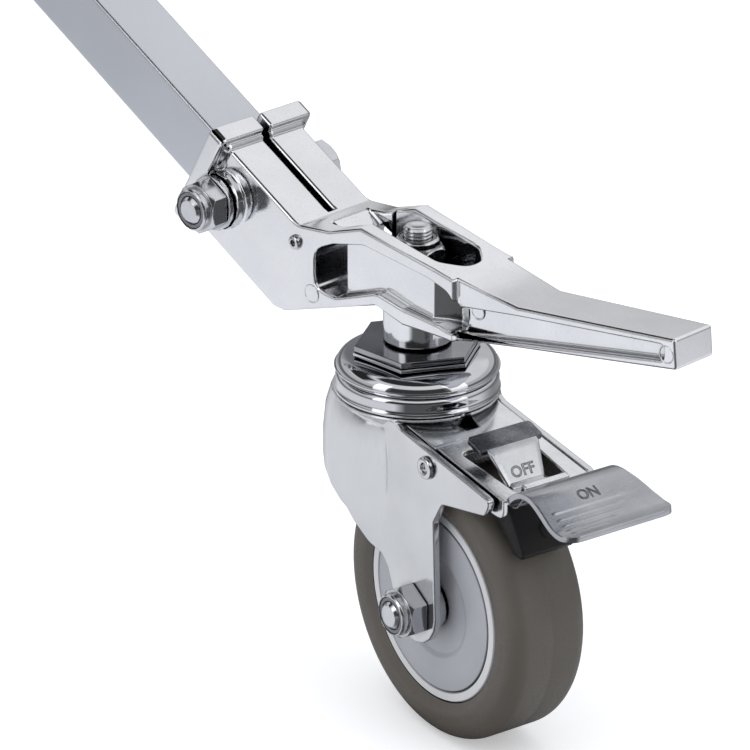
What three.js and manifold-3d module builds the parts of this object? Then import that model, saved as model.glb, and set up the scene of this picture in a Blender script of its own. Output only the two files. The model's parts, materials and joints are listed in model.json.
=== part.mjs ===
// One leg end of a roller stand: a square leg tube, a cast clamp foot and a braked swivel caster.
// Millimetres, +Z up. Pieces are laid out from the kingpin axis and the floor; the last lines move the
// origin to the centre of the tube's open end.
import * as THREE from 'three';
import { mergeVertices } from 'three/addons/utils/BufferGeometryUtils.js';
import Module from 'manifold-3d';

const wasm = await Module();
wasm.setup();

// Clearances and cutting tools
const seatGap = 0.3; // between two pieces that seat on each other
const overrun = 40; // how far a cutting tool runs past the face it cuts

// Facets round a full turn, and steps in a rounded corner
const wheelSides = 35;
const raceSides = 28;
const boltSides = 16;
const pinSides = 12;
const ballSides = 6;
const ballRows = 3;
const cornerSteps = 3;
const forkEndSteps = 9;
const soleSteps = 6;
const hexSides = 6;

// Wheel
const tyreRadius = 50;
const tyreWidth = 32;
const tyreShoulder = 6;
const tyreWall = 14.1; // from the tread to the tyre's seat on the rim
const rimInset = 1.7; // from the tyre's side to the rim's
const barrelWall = 5.5;
const webThickness = 6;
const hubRadius = 18;
const coverLand = 4.1; // the light ring of the rim that the cover leaves bare
const coverThickness = 1.5;
const coverProud = 0.4;
const coverDish = 1.2;
const coverBore = 8;

// Wheel bearings, axle sleeve and axle bolt
const bearingRadius = 14;
const bearingWidth = 8;
const bearingInset = 2.2; // from the rim's side face to the bearing
const ringWall = 1.6;
const wheelBallRadius = 1.8;
const wheelBalls = 6;
const sleeveRadius = 6;
const axleRadius = 5;
const spacerRadius = 9;

// Hexagon nuts and bolt heads of the same thread
const nutAcross = 17;
const nutHeight = 6.6;
const collarHeight = 3;
const collarRadius = 7.6;
const insertRadius = 6.5;
const insertHeight = 1.8;
const headHeight = 6.4;
const washerRadius = 10;
const washerThickness = 2;
const threadTip = 0.8; // how far the thread stands out of its nut
const threadChamfer = 1.2;

// Fork
const trail = 29.6; // from the kingpin axis to the axle
const wheelRoom = 3.5; // between the tyre and each cheek
const forkSheet = 3;
const forkEndRadius = 12.5;
const tipReachShare = 0.868; // of tyreRadius, from the axle forward to the tips beside the pedal
const shellRadius = 30;
const shellSetback = 5; // the round rear shell is centred this far behind the kingpin
const tyreHeadroom = 7; // between the tyre and the crown plate
const crownRim = 9; // how far the crown plate runs past the neck
const crownHole = 7;
const neckHeight = 7;
const neckBore = 19.5;
const neckRadius = 24;
const rimLipRadius = 28.9;
const rimLipThickness = 1.2;
const casterYaw = -10.26; // how far the caster is turned in the photographed pose, in degrees

// Raceways and kingpin
const cupRadius = 29;
const cupHeight = 13.7;
const cupSheet = 2.5;
const upperBallRadius = 2.4;
const upperPitch = 22.8;
const upperBalls = 9;
const lowerBallRadius = 2;
const lowerPitch = 13;
const lowerBalls = 6;
const retainerWall = 1.6;
const retainerHeight = 1;
const lowerRaceRadius = 17;
const lowerRaceThickness = 2;
const kingpinRadius = 5;
const kingpinHeadRadius = 8;
const kingpinHeadHeight = 2.6;
const kingpinProud = 4; // how far the kingpin's thread stands out of its nut
const spacerWall = 1.4;
const lockPlateRadius = 23.1; // to the corners
const lockPlateThickness = 1.3;
const hexPlateRadius = 22.65; // to the corners
const hexPlateThickness = 2.2;

// Leg tube
const tubeSide = 24;
const tubeWall = 2;
const tubeSlope = 29.7; // below the horizontal, in degrees
const tubeBeyondCollar = 150;
const socketBack = 75; // from the kingpin axis to the set-out place of the clamp on the tube's centreline
const socketRise = 34.5; // height of that place over the foot of the stem boss

// Foot casting
const socketWall = 5.4;
const socketDepth = 27; // past the place on the centreline
const flangeBack = 17.6;
const flangeThickness = 7.2;
const flangeSide = 44;
const flangeCorner = 5;
const flangeBead = 1.6;
const slotWidth = 3;
const slotEnd = 28;
const sleeveTopEnd = 29;
const sleeveBottomEnd = 35;
const clampBack = 2.4; // the clamp bolt's place behind the set-out place
const cheekBossRadius = 10.5;
const cheekBossStep = 1;
const cheekBossProud = 4.6;
const armReach = 125; // from the kingpin axis to the nose end
const armRise = 42; // from the foot of the stem boss to the crest
const stemBossRadius = 12;
const nutSeatRise = 25.6; // over the foot of the stem boss
const wellRise = 21.2;
const grooveDepth = 3.2;
const castCorner = 3;
const castBend = 9; // where the sleeve's top runs into the arm's
const recessCorner = 6;
const pocketCorner = 6; // at the front of the nut pocket

// Outlines of the casting. Along the arm, a share above zero is of armReach and one below zero is of the way
// back to the sleeve's lower edge. Upwards, a share is of armRise.
const armTopShares = [[-0.487, 0.881], [-0.211, 0.998], [0.245, 0.821], [0.45, 0.729], [0.989, 0.91]];
const armBottomShares = [[0.998, 0.66], [0.248, 0.281], [0.062, 0.276], [-0.084, 0.367], [-0.904, 0.033]];
const recessShares = [
  [-0.62, 0.34], [-0.62, 0.68], [-0.46, 0.775], [-0.19, 0.855], [0.15, 0.757], [0.225, 0.695],
  [0.262, 0.575], [0.262, 0.34], [0.19, 0.385], [0.064, 0.419], [-0.075, 0.482], [-0.43, 0.318],
];
const grooveShares = [[0.256, 0.579], [0.953, 0.833], [0.953, 0.71], [0.256, 0.325]];
const screwShares = [-0.778, 0.693];
// Half widths as shares of half the sleeve's width
const planShares = [
  [-2.4, 1], [-0.75, 1], [-0.211, 0.943], [0.176, 0.859],
  [0.245, 0.859], [0.248, 0.729], [0.45, 0.621], [0.998, 0.525],
];
const coreShares = [[-0.422, 0.695], [0.156, 0.695], [0.216, 0.339], [0.3, 0.339]];
const pocketShares = [[-0.393, 0.554], [0.152, 0.554], [0.212, 0.198]];
const leadInShares = [[-0.61, 0.5], [-0.393, 0.56]];
const leadInRiseShares = [0.86, 0.67];

// Outline of a fork cheek: along the trail as shares of forkReach, upwards from the axle as shares of forkRise
const cheekRearShares = [
  [-0.52, 1], [-0.52, 0.642], [-0.274, 0.567], [-0.033, 0.418], [0.079, 0.269], [0.192, 0.149],
];
const cheekFrontShares = [
  [0.555, 0.55], [0.623, 0.676], [0.849, 0.725], [0.956, 0.748], [1, 0.843], [0.295, 0.96], [0.23, 1],
];
const shellShares = [[0.85, -0.3], [0.873, 0], [1, 0.597], [1, 0.746], [0.967, 0.896], [0.9, 1]];
const cheekArcShares = [0.95, 2]; // the round end runs between these shares of half a turn

// Race cup: radii as shares of cupRadius, heights as shares of cupHeight
const cupOuterShares = [
  [0.972, 0], [1, 0.073], [0.985, 0.2], [0.985, 0.44], [0.945, 0.53], [0.945, 0.6],
  [1, 0.635], [1, 0.76], [0.966, 0.9], [0.9, 0.98], [0.8, 1],
];
const cupInnerShares = [[0.71, 0.818], [0.731, 0.474], [0.793, 0.387], [0.897, 0.263], [0.897, 0]];

// Brake
const pinSetback = 1.3; // from the crown plate's edge to the brake pin
const brakePinRadius = 3;
const brakePinHeadRadius = 4;
const brakePinHead = 1.5;
const rollerRadius = 4;
const leverPlay = 1; // between the lever and each cheek
const leverSheet = 2;
const leverSlope = 8.6; // in degrees
const leverTail = 2.8; // behind the brake pin's axis
const leverOverhang = 2; // past the fork's tips
const leverFlangeFloor = 49.4; // over the axle
const leverHub = 5;
const leverProud = 0.5; // over the fork's top edge
const lipThickness = 2.4;
const lipLength = 2.6;
const lipWidth = 18.6;
const tabPinSetback = 12.5; // behind the lever's front edge
const tabPinDrop = 6.07; // below the lever's top
const tabPinRadius = 1.5;
const tabHub = 3;
const tabHubLength = 14;
const tabSheet = 2;
const tabLength = 22.2; // from its pin to its rear edge
const tabWidth = 26.8;
const pedalSheet = 2;
const pedalWidth = 45;
const pedalLength = 38.7; // past the lever's front edge
const pedalCrest = 6.6; // over the place where the pedal leaves the lever
const pedalCorner = 5;
const tongueWidth = 28;
const tongueLength = 8;
const gripPitch = 4.2;
const gripHeight = 0.5;
const gripWidth = 1;
const grips = 4;
const shoeWidth = 22;
const shoeLength = 17.5;
const shoeContactLength = 8;
const shoeSetback = 1.5; // behind the lever's front edge
const shoeFrontRise = 32; // over the axle
const shoeClearance = 0.6; // to the tyre
const springThickness = 1.2;
const springWidth = 18;
const springTail = 10.5; // behind its rivet's axis
const rivetInset = 4; // from the crown plate's edge
const rivetRadius = 1.7;
const rivetHeadRadius = 2.2;
const rivetHead = 1;
const sideScrewRadius = 1.5;
const sideScrewHead = 2.6;
const sideScrewHeadHeight = 1.4;
const sideScrewLength = 4;

// Window in the lever and profile of the tab and pedal
const windowShares = [[0.22, 0.72], [0.955, 0.6]]; // along the lever, and of its half width
const tabShares = [[-0.703, 0.712], [-0.333, 0.604], [0.059, 0.09]]; // outer face, from the pin, of tabLength
const tabWidthShares = [[0.712, 1], [0.604, 0.79], [0.09, 0.545], [-0.3, 0.545]];
const pedalShares = [
  [0, 0], [0.05, 0.35], [0.2, 0.9], [0.39, 1], [0.56, 0.45], [0.68, 0], [0.85, -0.12], [1, 0.17],
];
const pedalWidthShares = [[0, 0.84], [0.2, 0.86], [0.6, 0.93], [1, 1]];

// Heights over the floor, worked up through the stack
const turn = Math.PI * 2;
const degrees = Math.PI / 180;
const axleHeight = tyreRadius;
const crownFloor = 2 * tyreRadius + tyreHeadroom;
const crownTop = crownFloor + forkSheet;
const neckTop = crownTop + neckHeight;
const forkRise = neckTop - axleHeight;
const cupFloor = neckTop + seatGap;
const cupTop = cupFloor + cupHeight;
const lockPlateFloor = cupTop + seatGap;
const hexPlateFloor = lockPlateFloor + lockPlateThickness + seatGap;
const castingFoot = hexPlateFloor + hexPlateThickness + seatGap;
const socketHeight = castingFoot + socketRise;
const slope = tubeSlope * degrees;
const sleeveSide = tubeSide + 2 * (socketWall + seatGap);
const rimRadius = tyreRadius - tyreWall;
const coverRadius = rimRadius - coverLand;
const lowerBallHeight = crownFloor - seatGap - lowerBallRadius;
const lowerRaceTop = lowerBallHeight - lowerBallRadius - seatGap;

// Widths and places along the trail that follow from the wheel and the crown plate
const rimWidth = tyreWidth - 2 * rimInset;
const forkWidth = tyreWidth + 2 * (wheelRoom + forkSheet);
const forkReach = trail + tipReachShare * tyreRadius;
const crownRadius = neckRadius + crownRim;
const brakePinForward = crownRadius + pinSetback + brakePinRadius;
const leverRear = brakePinForward - leverTail;
const rivetForward = crownRadius - rivetInset;
const springRear = rivetForward - springTail;

// A closed mesh from a three.js geometry becomes a solid that faces outwards
function solidOf(geometry) {
  const bare = new THREE.BufferGeometry();
  bare.setAttribute('position', geometry.getAttribute('position'));
  bare.setIndex(geometry.index);
  const merged = mergeVertices(bare);
  const corners = merged.index.array;
  const points = merged.getAttribute('position');
  const at = (index) => new THREE.Vector3().fromBufferAttribute(points, index);
  const kept = [];
  let volume = 0;
  for (let i = 0; i < corners.length; i += 3) {
    const [a, b, c] = corners.slice(i, i + 3);
    if (a !== b && b !== c && c !== a) {
      kept.push([a, b, c]);
      volume += at(a).dot(at(b).cross(at(c)));
    }
  }
  const facing = volume > 0 ? kept : kept.map(([a, b, c]) => [a, c, b]);
  const triVerts = new Uint32Array(facing.flat());
  const vertProperties = new Float32Array(points.array);
  return new wasm.Manifold(new wasm.Mesh({ numProp: 3, vertProperties, triVerts }));
}

// A named mesh with a material of its own
function piece(name, solid, look) {
  const { vertProperties, triVerts } = solid.getMesh();
  const geometry = new THREE.BufferGeometry();
  geometry.setAttribute('position', new THREE.BufferAttribute(vertProperties, 3));
  geometry.setIndex(new THREE.BufferAttribute(triVerts, 1));
  geometry.computeVertexNormals();
  const mesh = new THREE.Mesh(geometry, new THREE.MeshStandardMaterial(look));
  mesh.name = name;
  return mesh;
}

// A closed outline through places [u, v, r], each corner rounded to the radius r where one is given
function outline(places) {
  const shape = new THREE.Shape();
  const corners = places.map(([u, v]) => new THREE.Vector2(u, v));
  places.forEach(([u, v, radius = 0], i) => {
    const here = corners[i];
    const back = corners.at(i - 1).clone().sub(here);
    const on = corners[(i + 1) % corners.length].clone().sub(here);
    const spare = Math.min(back.length(), on.length()) / 2;
    const reach = Math.min(radius / Math.tan(back.angleTo(on) / 2), spare);
    const start = here.clone().add(back.setLength(reach));
    const end = here.clone().add(on.setLength(reach));
    if (i === 0) shape.moveTo(start.x, start.y);
    else shape.lineTo(start.x, start.y);
    if (radius > 0) shape.quadraticCurveTo(u, v, end.x, end.y);
  });
  return shape;
}

const extrude = (shape, depth) =>
  new THREE.ExtrudeGeometry(shape, { depth, bevelEnabled: false, curveSegments: cornerSteps });

// Prisms of an outline drawn in (x, y), (x, z) and (y, z), between two places along the third axis
const upZ = (shape, low, high) => solidOf(extrude(shape, high - low).translate(0, 0, low));
const alongY = (shape, low, high) =>
  solidOf(extrude(shape, high - low).rotateX(Math.PI / 2).translate(0, high, 0));
const facingX = new THREE.Matrix4().makeBasis(
  new THREE.Vector3(0, 1, 0),
  new THREE.Vector3(0, 0, 1),
  new THREE.Vector3(1, 0, 0),
);
const extrudeX = (shape, low, high) => extrude(shape, high - low).applyMatrix4(facingX).translate(low, 0, 0);
const alongX = (shape, low, high) => solidOf(extrudeX(shape, low, high));

const box = ([x0, x1], [y0, y1], [z0, z1]) => {
  const block = new THREE.BoxGeometry(x1 - x0, y1 - y0, z1 - z0);
  return solidOf(block.translate((x0 + x1) / 2, (y0 + y1) / 2, (z0 + z1) / 2));
};

// Turned solids from places [radius, height], about Y or about Z
const lathe = (places, sides) =>
  new THREE.LatheGeometry(places.map(([r, h]) => new THREE.Vector2(r, h)), sides);
const turnedY = (places, sides, [x, y, z] = [0, 0, 0]) => solidOf(lathe(places, sides).translate(x, y, z));
const turnedZ = (places, sides, [x, y, z] = [0, 0, 0]) =>
  solidOf(lathe(places, sides).rotateX(Math.PI / 2).translate(x, y, z));

const rod = (radius, low, high) => [[0, low], [radius, low], [radius, high], [0, high]];
const ring = (inner, outer, low, high) =>
  [[inner, low], [outer, low], [outer, high], [inner, high], [inner, low]];
const both = (places) => [...places, ...places.map(([u, v, r]) => [u, -v, r]).reverse()];
const arc = (x, z, radius, from, to, steps) =>
  Array.from({ length: steps + 1 }, (_, i) => {
    const angle = from + ((to - from) * i) / steps;
    return [x + radius * Math.cos(angle), z + radius * Math.sin(angle)];
  });

// Nut, bolt and ball-ring shapes, made about Z with their seat at zero height
function hexagon(across, low, high) {
  const corner = across / 2 / Math.cos(Math.PI / hexSides);
  const prism = new THREE.CylinderGeometry(corner, corner, high - low, hexSides).rotateX(Math.PI / 2);
  return solidOf(prism.translate(0, 0, (low + high) / 2));
}

function chamferedHexagon(across, height) {
  const corner = across / 2 / Math.cos(Math.PI / hexSides);
  const drop = corner - across / 2;
  const side = [[0, 0], [corner, 0], [corner, height - drop], [across / 2, height], [0, height]];
  return hexagon(across, 0, height).intersect(turnedZ(side, boltSides));
}

function lockNut() {
  const top = nutHeight + collarHeight;
  const shoulder = [[collarRadius, top - threadTip], [collarRadius - threadTip, top]];
  const dome = [[0, 0], [collarRadius, 0], ...shoulder, [0, top]];
  return chamferedHexagon(nutAcross, nutHeight)
    .add(turnedZ(dome, boltSides))
    .subtract(turnedZ(rod(axleRadius + seatGap, -overrun, overrun), boltSides))
    .subtract(turnedZ(rod(insertRadius + seatGap, top - insertHeight - seatGap, overrun), boltSides));
}

function nutInsert() {
  const top = nutHeight + collarHeight;
  return turnedZ(ring(axleRadius + seatGap, insertRadius, top - insertHeight, top - threadTip / 2), boltSides);
}

// A bolt whose head's seat is at zero height and whose thread points up
function hexBolt(length) {
  const tip = [[axleRadius, length - threadChamfer], [axleRadius - threadChamfer, length]];
  const shank = [[0, -seatGap], [axleRadius, -seatGap], ...tip, [0, length]];
  const head = chamferedHexagon(nutAcross, headHeight).mirror([0, 0, 1]);
  return head.add(turnedZ(shank, boltSides));
}

function ballRing(ballRadius, pitch, count, sides) {
  const half = retainerWall / 2;
  const retainer = ring(pitch - half, pitch + half, -retainerHeight / 2, retainerHeight / 2);
  let whole = turnedZ(retainer, sides);
  for (let i = 0; i < count; i += 1) {
    const angle = (turn * i) / count;
    const ball = new THREE.SphereGeometry(ballRadius, ballSides, ballRows).rotateZ(angle);
    whole = whole.add(solidOf(ball.translate(pitch * Math.cos(angle), pitch * Math.sin(angle), 0)));
  }
  return whole;
}

// Looks
const zinc = { color: 0xc9cbce, roughness: 0.35, metalness: 0.9 };
const chrome = { color: 0xd8dadd, roughness: 0.08, metalness: 1 };
const satinChrome = { color: 0xb9bec6, roughness: 0.25, metalness: 1 };
const castAluminium = { color: 0xd5d7d9, roughness: 0.4, metalness: 0.8 };
const rubber = { color: 0x5a554f, roughness: 0.8, metalness: 0 };
const greyPlastic = { color: 0xc4c6c6, roughness: 0.5, metalness: 0 };
const coverPlastic = { color: 0x9b9ea6, roughness: 0.5, metalness: 0 };
const blackPlastic = { color: 0x161616, roughness: 0.6, metalness: 0 };
const nylon = { color: 0xe8e8e2, roughness: 0.5, metalness: 0 };
const steel = { color: 0x8f9296, roughness: 0.3, metalness: 1 };

// Leg tube and foot, in the leg's own frame
const along = (s, n) => [
  -socketBack + s * Math.cos(slope) + n * Math.sin(slope),
  socketHeight - s * Math.sin(slope) + n * Math.cos(slope),
];
const heelReach = -along(sleeveBottomEnd, -sleeveSide / 2)[0];
const armAt = (share) => share * (share < 0 ? heelReach : armReach);
const armSpots = (shares, radius) => shares.map(([u, v]) => [armAt(u), castingFoot + v * armRise, radius]);
const planSpots = (shares, inset = 0) =>
  both(shares.map(([u, v]) => [armAt(u), (v * sleeveSide) / 2 - inset]));
const slopedFrame = new THREE.Group();
slopedFrame.position.set(-socketBack, 0, socketHeight);
slopedFrame.rotation.y = slope;
slopedFrame.updateMatrix();
const sloped = (geometry) => solidOf(geometry.applyMatrix4(slopedFrame.matrix));
const slopedBox = ([s0, s1], [y0, y1], [n0, n1]) => {
  const block = new THREE.BoxGeometry(s1 - s0, y1 - y0, n1 - n0);
  return sloped(block.translate((s0 + s1) / 2, (y0 + y1) / 2, (n0 + n1) / 2));
};
const [clampX, clampZ] = along(-clampBack, 0);
const tubeEnd = -flangeBack - tubeBeyondCollar;
const cheekFace = sleeveSide / 2 + cheekBossProud;

function clampBore() {
  return turnedY(rod(axleRadius + seatGap, -overrun, overrun), boltSides, [clampX, 0, clampZ]);
}

function legTube() {
  const half = tubeSide / 2;
  const bore = half - tubeWall;
  const length = [tubeEnd, socketDepth - seatGap];
  const hollow = slopedBox([tubeEnd - overrun, socketDepth + overrun], [-bore, bore], [-bore, bore]);
  return slopedBox(length, [-half, half], [-half, half]).subtract(hollow).subtract(clampBore());
}

function clampFlange() {
  const plate = (side, from, to) => {
    const half = side / 2;
    const soft = flangeCorner;
    const lower = [[-half, -half, soft], [half, -half, soft]];
    const upper = [[half, half, soft / 2], [-half, half, soft / 2]];
    return sloped(extrudeX(outline([...lower, ...upper]), from, to));
  };
  const front = flangeThickness - flangeBack;
  const bead = plate(sleeveSide + 2 * flangeBead, -flangeBack, front + flangeBead);
  return plate(flangeSide, -flangeBack, front).add(bead);
}

function armBody() {
  const half = sleeveSide / 2;
  const side = [
    along(-flangeBack + flangeThickness / 2, half),
    [...along(sleeveTopEnd, half), castBend],
    ...armSpots(armTopShares),
    ...armSpots(armBottomShares),
    [...along(sleeveBottomEnd, -half), castCorner],
    along(-flangeBack + flangeThickness / 2, -half),
  ];
  const plan = upZ(outline(planSpots(planShares)), castingFoot - overrun, castingFoot + armRise + overrun);
  return alongY(outline(side), -sleeveSide, sleeveSide).intersect(plan);
}

// The two side recesses stop at the core round the nut pocket and meet behind it in a window
function armRecess() {
  const opening = alongY(outline(armSpots(recessShares, recessCorner)), -sleeveSide, sleeveSide);
  return opening.subtract(upZ(outline(planSpots(coreShares)), castingFoot, castingFoot + armRise));
}

function noseGrooves() {
  const band = alongY(outline(armSpots(grooveShares, castCorner / 2)), -sleeveSide, sleeveSide);
  const web = upZ(outline(planSpots(planShares, grooveDepth)), castingFoot, castingFoot + armRise);
  return band.subtract(web);
}

function nutPocket() {
  const rounded = ([u, v]) => [armAt(u), (v * sleeveSide) / 2, u > 0 ? pocketCorner : 0];
  const plan = outline(both(pocketShares.map(rounded)));
  const seat = castingFoot + nutSeatRise;
  const top = castingFoot + armRise + overrun;
  const boss = turnedZ(rod(stemBossRadius, castingFoot, seat), raceSides);
  const well = upZ(plan, castingFoot + wellRise, top).subtract(boss);
  const [tip, deep] = leadInShares.map(([u]) => armAt(u));
  const [tipRise, deepRise] = leadInRiseShares.map((v) => castingFoot + v * armRise);
  const side = [[tip, tipRise], [deep, deepRise], [deep, top], [tip, top]];
  const ramp = alongY(outline(side), -sleeveSide, sleeveSide);
  const leadIn = upZ(outline(planSpots(leadInShares)), castingFoot, top).intersect(ramp);
  return upZ(plan, seat, top).add(well).add(leadIn);
}

function footCasting() {
  const half = tubeSide / 2 + seatGap;
  const cheekBoss = [
    [0, 0],
    [cheekBossRadius, 0],
    [cheekBossRadius, cheekFace - cheekBossStep],
    [cheekBossRadius - cheekBossStep, cheekFace],
    [0, cheekFace],
  ];
  const bossPlace = [clampX, 0, clampZ];
  const nearBoss = turnedY(cheekBoss.map(([r, h]) => [r, -h]), boltSides, bossPlace);
  const farBoss = turnedY(cheekBoss, boltSides, bossPlace);
  const stemBoss = turnedZ(rod(stemBossRadius, castingFoot, castingFoot + wellRise), raceSides);
  const socket = slopedBox([-flangeBack - overrun, socketDepth], [-half, half], [-half, half]);
  const slot = slopedBox([-flangeBack - overrun, slotEnd], [-slotWidth / 2, slotWidth / 2], [0, flangeSide]);
  const stemHole = rod(kingpinRadius + seatGap, castingFoot - overrun, castingFoot + armRise);
  const stemBore = turnedZ(stemHole, boltSides);
  let whole = armBody().add(clampFlange()).add(nearBoss).add(farBoss);
  whole = whole.subtract(armRecess()).subtract(noseGrooves()).subtract(nutPocket());
  whole = whole.add(stemBoss).subtract(stemBore).subtract(socket).subtract(slot).subtract(clampBore());
  const [screwX, screwZ] = armSpots([screwShares])[0];
  const screwFoot = sideScrewLength - sleeveSide / 2;
  const screwHole = turnedY(rod(sideScrewRadius + seatGap, -overrun, screwFoot), pinSides);
  return whole.subtract(screwHole.translate(screwX, 0, screwZ));
}

function sideScrew() {
  const face = sleeveSide / 2 + seatGap;
  const head = turnedY(rod(sideScrewHead, -face - sideScrewHeadHeight, -face), pinSides);
  const shank = turnedY(rod(sideScrewRadius, -face, sideScrewLength - face), pinSides);
  const [x, z] = armSpots([screwShares])[0];
  return head.add(shank).translate(x, 0, z);
}

const root = new THREE.Group();
const leg = new THREE.Group();
root.add(leg);
leg.add(piece('leg_tube', legTube(), satinChrome));
leg.add(piece('foot_casting', footCasting(), castAluminium));
leg.add(piece('side_screw', sideScrew(), zinc));

// Clamp bolt through the tube: head on the far cheek, lock nut on the near one
const clampLine = new THREE.Group();
clampLine.position.set(clampX, 0, clampZ);
clampLine.rotation.set(Math.PI / 2, 0, 0);
leg.add(clampLine);
const washerSeat = cheekFace + seatGap;
const nutSeat = washerSeat + washerThickness + seatGap;
const washer = (outer) => turnedZ(ring(axleRadius + seatGap, outer, 0, washerThickness), boltSides);
const clampLength = 2 * nutSeat + nutHeight + collarHeight + threadTip;
clampLine.add(piece('clamp_bolt', hexBolt(clampLength).translate(0, 0, -nutSeat), zinc));
const farWasher = washer(washerRadius).translate(0, 0, -washerSeat - washerThickness);
clampLine.add(piece('clamp_washer_far', farWasher, zinc));
clampLine.add(piece('clamp_washer_near', washer(washerRadius).translate(0, 0, washerSeat), zinc));
clampLine.add(piece('clamp_nut', lockNut().translate(0, 0, nutSeat), zinc));
clampLine.add(piece('clamp_nut_insert', nutInsert().translate(0, 0, nutSeat), nylon));

// Kingpin with its nut in the pocket, and what it clamps below the stem boss
const stemNutSeat = castingFoot + nutSeatRise + seatGap;
const stemNutFloor = stemNutSeat + washerThickness + seatGap;
const kingpinTop = stemNutFloor + nutHeight + collarHeight + kingpinProud;

function kingpin() {
  const foot = lowerRaceTop - lowerRaceThickness - seatGap;
  const end = kingpinRadius - threadChamfer;
  return turnedZ([
    [0, foot - kingpinHeadHeight],
    [kingpinHeadRadius - threadChamfer, foot - kingpinHeadHeight],
    [kingpinHeadRadius, foot - threadChamfer],
    [kingpinHeadRadius, foot],
    [kingpinRadius, foot],
    [kingpinRadius, kingpinTop - threadChamfer],
    [end, kingpinTop],
    [0, kingpinTop],
  ], boltSides);
}

function hexPlate(corner, floor, thickness) {
  const prism = new THREE.CylinderGeometry(corner, corner, thickness, hexSides).rotateX(Math.PI / 2);
  const plate = solidOf(prism.rotateZ(turn / hexSides / 2).translate(0, 0, floor + thickness / 2));
  return plate.subtract(turnedZ(rod(kingpinRadius + seatGap, 0, castingFoot), boltSides));
}

function raceCup() {
  const bore = kingpinRadius + seatGap;
  const spots = (shares) => shares.map(([u, v]) => [u * cupRadius, cupFloor + v * cupHeight]);
  const inside = [[bore, cupTop], [bore, cupTop - cupSheet], ...spots(cupInnerShares)];
  const outside = spots(cupOuterShares);
  return turnedZ([...outside, ...inside, outside[0]], raceSides);
}

leg.add(piece('kingpin', kingpin(), zinc));
leg.add(piece('stem_washer', washer(collarRadius + seatGap).translate(0, 0, stemNutSeat), zinc));
leg.add(piece('stem_nut', lockNut().translate(0, 0, stemNutFloor), zinc));
leg.add(piece('stem_nut_insert', nutInsert().translate(0, 0, stemNutFloor), nylon));
leg.add(piece('hex_plate', hexPlate(hexPlateRadius, hexPlateFloor, hexPlateThickness), chrome));
leg.add(piece('lock_plate', hexPlate(lockPlateRadius, lockPlateFloor, lockPlateThickness), chrome));
leg.add(piece('race_cup', raceCup(), chrome));
const spacerTop = cupTop - cupSheet - seatGap;
const spacerInside = kingpinRadius + seatGap;
const spacerTube = ring(spacerInside, spacerInside + spacerWall, lowerRaceTop + seatGap, spacerTop);
leg.add(piece('kingpin_spacer', turnedZ(spacerTube, boltSides), steel));
const lowerRace = ring(spacerInside, lowerRaceRadius, lowerRaceTop - lowerRaceThickness, lowerRaceTop);
leg.add(piece('lower_race', turnedZ(lowerRace, raceSides), steel));

// The caster turns as one group about the kingpin
const caster = new THREE.Group();
caster.rotation.z = casterYaw * degrees;
root.add(caster);
const forkSpots = (shares, radius) =>
  shares.map(([u, v]) => [u * forkReach, axleHeight + v * forkRise, radius]);

// The lever's top runs parallel to the fork's upper edge; the brake's pins hang from it
const leverWidth = forkWidth - 2 * (forkSheet + leverPlay);
const leverFront = forkReach + leverOverhang;
const leverTilt = Math.tan(leverSlope * degrees);
const [[forkTipX, forkTipZ]] = forkSpots([cheekFrontShares[4]]);
const leverTop = (x) => forkTipZ + leverProud + (forkTipX - x) * leverTilt;
const pinHeight = leverTop(brakePinForward) - leverSheet - rollerRadius - seatGap;
const tabPinForward = leverFront - tabPinSetback;
const tabPinHeight = leverTop(tabPinForward) - tabPinDrop;

function forkBlank(inset) {
  const half = forkWidth / 2 - inset;
  const shell = shellShares.map(([u, v]) => [u * shellRadius - inset, axleHeight + v * forkRise]);
  const [lowest] = shell;
  const highest = shell.at(-1);
  const turned = [[0, lowest[1]], ...shell, [highest[0], highest[1] + inset], [0, highest[1] + inset]];
  const rear = turnedZ(turned, raceSides, [-shellSetback, 0, 0]);
  const cheeks = box([-shellSetback, forkReach + inset], [-half, half], [lowest[1], neckTop + inset]);
  return rear.add(cheeks);
}

function cheekOutline() {
  const [from, to] = cheekArcShares.map((share) => share * Math.PI);
  const roundEnd = arc(trail, axleHeight, forkEndRadius, from, to, forkEndSteps);
  return outline([...forkSpots(cheekRearShares), ...roundEnd, ...forkSpots(cheekFrontShares, castCorner)]);
}

function fork() {
  const blank = forkBlank(0).intersect(alongY(cheekOutline(), -shellRadius, shellRadius));
  const crown = turnedZ(rod(crownRadius, crownFloor, crownTop), raceSides);
  const inside = forkBlank(forkSheet).subtract(crown);
  const neck = turnedZ([
    [neckBore, crownFloor],
    [neckRadius, crownFloor],
    [neckRadius, crownTop],
    [rimLipRadius - rimLipThickness, neckTop - rimLipThickness],
    [rimLipRadius, neckTop - rimLipThickness],
    [rimLipRadius, neckTop],
    [neckBore, neckTop],
    [neckBore, crownFloor],
  ], raceSides);
  const across = (radius, x, z, sides) => turnedY(rod(radius + seatGap, -overrun, overrun), sides, [x, 0, z]);
  return blank
    .subtract(inside)
    .add(neck)
    .subtract(turnedZ(rod(crownHole, 0, neckTop), boltSides))
    .subtract(across(axleRadius, trail, axleHeight, boltSides))
    .subtract(across(brakePinRadius, brakePinForward, pinHeight, pinSides))
    .subtract(turnedZ(rod(rivetRadius + seatGap, 0, neckTop), pinSides, [rivetForward, 0, 0]));
}

caster.add(piece('fork', fork(), zinc));
const upperRing = ballRing(upperBallRadius, upperPitch, upperBalls, boltSides);
caster.add(piece('upper_balls', upperRing.translate(0, 0, cupFloor + upperBallRadius), steel));
const lowerRing = ballRing(lowerBallRadius, lowerPitch, lowerBalls, boltSides);
caster.add(piece('lower_balls', lowerRing.translate(0, 0, lowerBallHeight), steel));

// Flat spring under the crown that presses on the brake's roller, and the rivet that holds it
const springTop = crownFloor - seatGap;
const springFront = brakePinForward - rollerRadius - seatGap;

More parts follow.
